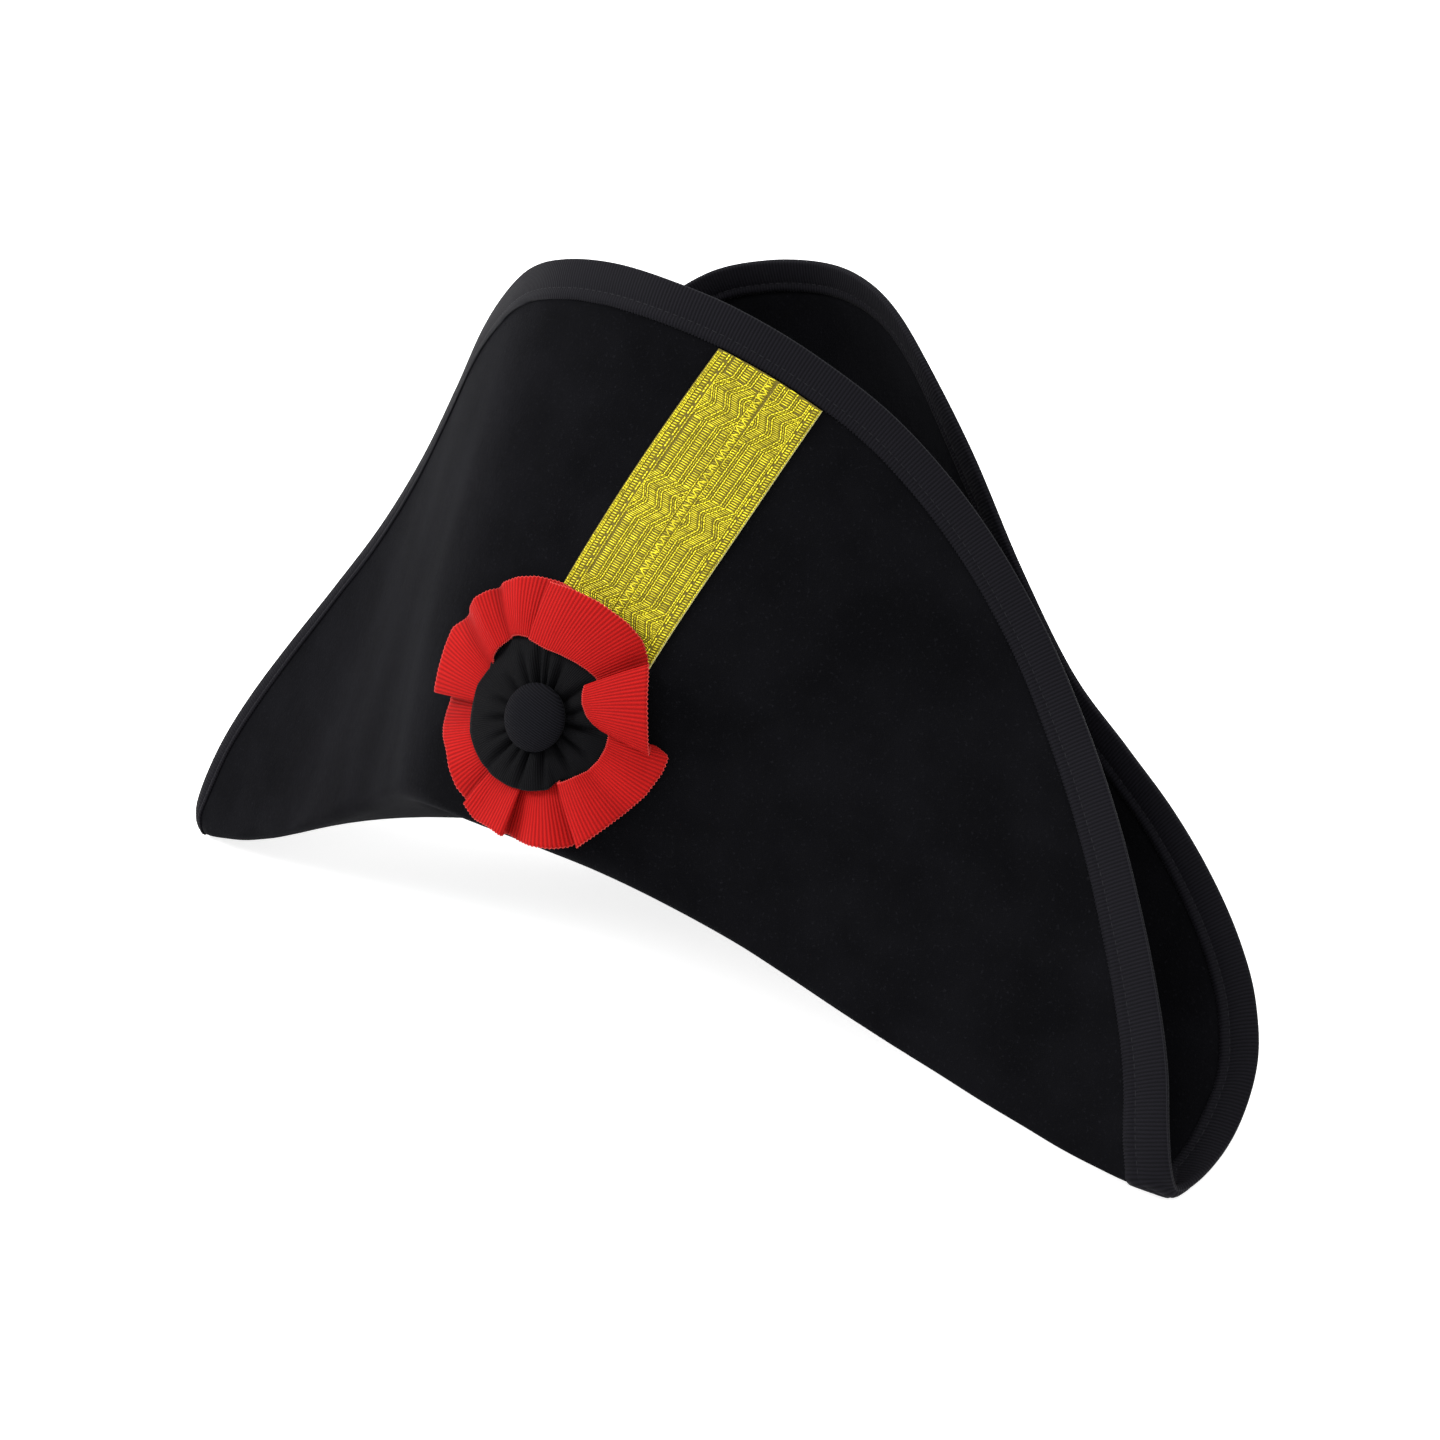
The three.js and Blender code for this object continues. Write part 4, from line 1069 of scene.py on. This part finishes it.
def makeRedRuffle():
    (outer, inner), length = redEdges(redRibbon["ribPitch"] / 2)
    count = len(outer)
    shares = np.linspace(0, 1, redRibbon["rows"] + 1)
    tooth = np.where(np.arange(count) % 2 == 0, 0.5, -0.5)[:, None] * redRibbon["tooth"]
    away = unit(outer[:, :2] - inner[:, :2])
    spots, lifts = [], []
    for k, share in enumerate(shares):
        spot = lerp(inner, outer, share)
        end = (k == len(shares) - 1) - (k == 0) * 1.0
        spots.append(spot[:, :2] + away * tooth * end)
        lifts.append(spot[:, 2] + redRibbon["bulge"] * math.sin(math.pi * share))
    # Painted shade: where a column lies lower than its neighbours along the ribbon, in valleys between
    # folds and beside folds lying over it, the red is darkened, more towards the outer edge
    around = softened(outer[:, 2], redRibbon["ribPitch"] / 2, redRibbon["hollowReach"])
    hollowShade = np.clip((around - outer[:, 2]) / redRibbon["hollowDepth"], 0, 1)
    hollowShade = hollowShade[None, :] * (0.35 + 0.65 * shares[:, None])
    top, under = ruffleFaces(np.array(spots), np.array(lifts), redRibbon["thickness"])
    uv = np.zeros((len(shares), count, 2))
    uv[:, :, 0] = np.arange(count)[None, :] * redRibbon["ribPitch"] / 2
    uv[:, :, 1] = shares[:, None] * redRibbon["width"]
    piece = bandPiece("redRuffle", top, under, uv, count * redRibbon["ribPitch"] / 2, redMaterial)
    layer = piece.data.attributes.new("hollowShade", "FLOAT", "POINT")
    layer.data.foreach_set("value", np.vstack([hollowShade, hollowShade[::-1]]).astype(np.float32).ravel())
    return finishPiece(piece, "cockade_red_ruffle"), length


redRuffle, redLength = makeRedRuffle()
print("red ruffle made, ribbon length", round(redLength))

# Black gathered ribbon, from under the button to under the red ribbon
blackRibbon = {"inner": 7.0, "rows": 16, "columns": 480, "thickness": 0.5, "seat": 2.6, "puff": 0.9,
               "ripple": 2.0, "ribPitch": 1.0, "ribs": 190, "width": 20.0}
# Outer edge of the black ribbon: angle, radius and height over the felt
blackEdge = [[0, 26, 3.2], [57, 26, 3.0], [90, 27, 3.0], [108, 29, 3.0], [125, 32, 2.8], [140, 32, 2.8],
             [150, 31, 3.0], [156, 28.6, 3.8], [162, 28.4, 4.8], [170, 29, 5.4], [182, 28.9, 5.4],
             [203, 29.6, 5.4], [224, 27.6, 5.6], [251, 25.8, 5.8], [281, 25, 5.4], [293, 24.6, 4.6],
             [300, 22.6, 3.4], [307, 23, 3.0], [316, 25, 3.0], [340, 26, 3.0], [360, 26, 3.2]]
# Gathers: angle, width, depth, how far out they reach and how many degrees they slant
blackGathers = [[2, 5, 1.3, 0.9, 0], [22, 5, 0.8, 0.6, 4], [48, 6, 1, 0.8, -3], [77, 5, 1.1, 0.75, 3],
                [93, 4, 0.9, 1, 2], [108, 5, 1.2, 1, -4], [126, 4, 0.8, 0.7, -4], [150, 5, 0.8, 0.5, -6],
                [172, 5, 0.9, 0.5, 0], [193, 5, 1, 0.6, 3], [213, 4, 0.7, 0.6, 5], [231, 5, 1.3, 1, 4],
                [252, 4, 0.7, 0.7, 2], [268, 4, 1.2, 1, 0], [292, 5, 1.1, 1, -3], [318, 5, 1, 0.9, -3],
                [340, 4, 0.9, 0.8, -4]]
# Black ribbon colours: top, a darker groove colour as painted shade in the rib valleys, and a lighter
# line along its outer edge as painted highlight
blackMaterial = makeGrosgrain("blackRibbon", (0.0034, 0.0034, 0.004), (0.0016, 0.0016, 0.002),
                              (0.008, 0.008, 0.009), blackRibbon["ribPitch"], [(0.0, 0.4)],
                              0.6, 0.03, 0.004, 0.0001)


def makeBlackRuffle():
    turns = np.arange(blackRibbon["columns"]) / blackRibbon["columns"] * 360
    angles, radii, heights = np.array(blackEdge, float).T
    edge, high = np.interp(turns, angles, radii), np.interp(turns, angles, heights)
    ring = np.column_stack([np.cos(np.radians(turns)), np.sin(np.radians(turns))])
    spots, lifts = [], []
    shares = np.linspace(0, 1, blackRibbon["rows"] + 1)
    for share in shares:
        radius = lerp(blackRibbon["inner"], edge, share)
        fold = np.full_like(turns, 0.35)
        for angle, width, strength, out, slant in blackGathers:
            apart = np.abs((turns - angle - slant * share + 180) % 360 - 180)
            fade = 1 / (1 + math.exp((share - out) / 0.07)) if out < 1 else 1.0
            fold -= strength * fade * np.exp(-(apart / (width * (1.2 - 0.5 * share))) ** 2)
        depth = blackRibbon["ripple"] * math.sin(math.pi * min(1.0, 0.3 + 0.64 * share))
        lift = blackRibbon["seat"] + (high - blackRibbon["seat"]) * share ** 0.7
        lift = lift + blackRibbon["puff"] * math.sin(math.pi * share)
        spots.append(radius[:, None] * ring)
        lifts.append(lift + depth * fold)
    top, under = ruffleFaces(np.array(spots), np.array(lifts), blackRibbon["thickness"])
    uv = np.zeros((len(shares), len(turns), 2))
    around = blackRibbon["ribs"] * blackRibbon["ribPitch"]
    uv[:, :, 0] = turns[None, :] / 360 * around
    uv[:, :, 1] = (1 - shares[:, None]) * blackRibbon["width"]
    piece = bandPiece("blackRuffle", top, under, uv, around, blackMaterial)
    return finishPiece(piece, "cockade_black_ruffle")


blackRuffle = makeBlackRuffle()

button = {"radius": 12.0, "seat": 3.9, "rim": 2.4, "dome": 4.6, "rings": 22, "steps": 96, "hem": 0.8}


def makeButton():
    shape, shader = makeMaterial("buttonTwill", (0.006, 0.006, 0.008), 0.7, 0.03, sheen=0.006)
    u, v = clothPlace(shape)
    slant = reckon(shape, "ADD", reckon(shape, "MULTIPLY", u, 0.35), v)
    twill, cross = ripple(shape, slant, 0.9), ripple(shape, u, 0.5)
    raised = reckon(shape, "ADD", spread(shape, twill, -1, 1), reckon(shape, "MULTIPLY", cross, 0.12))
    # Painted shade: the twill's low lines take the darker colour, its raised lines the lighter one
    dress(shape, shader, mixColors(shape, raised, (0.0014, 0.0014, 0.002), (0.0062, 0.0062, 0.0082)),
          addBump(shape, raised, 0.00015))
    profile = [[0.0, 0.0], [button["radius"] - button["hem"], 0.0]]
    for k in range(button["rings"]):
        angle = math.pi / 2 * k / (button["rings"] - 1)
        profile.append([button["radius"] * math.cos(angle) ** 0.9,
                        button["rim"] + button["dome"] * math.sin(angle)])
    profile = np.array(profile[1:-1])
    around = 2 * math.pi * np.arange(button["steps"]) / button["steps"]
    ring = np.column_stack([np.cos(around), np.sin(around)])
    flat = [radius * ring for radius, _ in profile]
    spot, normal = onFlap(cockade["x"], cockade["z"], button["seat"])
    spot, normal = spot[0], normal[0]
    side = unit(np.cross([0.0, 0.0, 1.0], normal))
    rise = np.cross(normal, side)

    def lifted(local, height):
        return spot + local[:, :1] * side + local[:, 1:] * rise + height * normal

    points = [lifted(local, height) for local, (_, height) in zip(flat, profile)]
    points += [lifted(np.zeros((1, 2)), 0.0), lifted(np.zeros((1, 2)), button["rim"] + button["dome"])]
    steps, rows = button["steps"], len(profile)
    uvGrid = np.array(flat)
    faces, corners = gridQuads(rows, steps, wrapCols=True, uvGrid=uvGrid)
    base, top = rows * steps, rows * steps + 1
    for c in range(steps):
        following = (c + 1) % steps
        faces.append((following, c, base))
        corners += [tuple(uvGrid[0, following]), tuple(uvGrid[0, c]), (0.0, 0.0)]
        faces.append(((rows - 1) * steps + c, (rows - 1) * steps + following, top))
        corners += [tuple(uvGrid[-1, c]), tuple(uvGrid[-1, following]), (0.0, 0.0)]
    piece = meshObject("clothButton", onTable(np.vstack(points)), faces, shape, corners)
    return finishPiece(piece, "cockade_button")


clothButton = makeButton()
print("cockade made")

# Floor, lights and white surroundings
studio = {"floorSize": 12.0, "world": 1.0, "floorGlow": 0.78, "aimHeight": 0.1}
# Lamps: name, place in metres, size in metres and power in watts
lamps = [("keyLight", (-1.2, -1.2, 1.6), 0.8, 49), ("topLight", (-0.2, 0.4, 2.0), 1.2, 24),
         ("fillLight", (1.6, -1.2, 0.9), 1.2, 5)]


def makeStudio():
    half = studio["floorSize"] / 2
    mesh = bpy.data.meshes.new("floor")
    mesh.from_pydata([(-half, -half, 0), (half, -half, 0), (half, half, 0), (-half, half, 0)], [],
                     [(0, 1, 2, 3)])
    floor = addObject("floor", mesh)
    white, shader = makeMaterial("palePaper", (0.62, 0.62, 0.62), 0.9, 0.1)
    shader.inputs["Emission Color"].default_value = (1, 1, 1, 1)
    shader.inputs["Emission Strength"].default_value = studio["floorGlow"]
    mesh.materials.append(white)
    world = bpy.data.worlds.new("whiteStudio")
    world.use_nodes = True
    world.node_tree.nodes["Background"].inputs[0].default_value = (1, 1, 1, 1)
    world.node_tree.nodes["Background"].inputs[1].default_value = studio["world"]
    bpy.context.scene.world = world
    for name, spot, size, power in lamps:
        data = bpy.data.lights.new(name, "AREA")
        data.shape, data.size, data.energy = "SQUARE", size, power
        lamp = addObject(name, data)
        lamp.location = spot
        aim = Vector((0, 0, studio["aimHeight"])) - Vector(spot)
        lamp.rotation_euler = aim.to_track_quat("-Z", "Y").to_euler()
    bpy.context.scene.view_settings.view_transform = "Standard"


makeStudio()
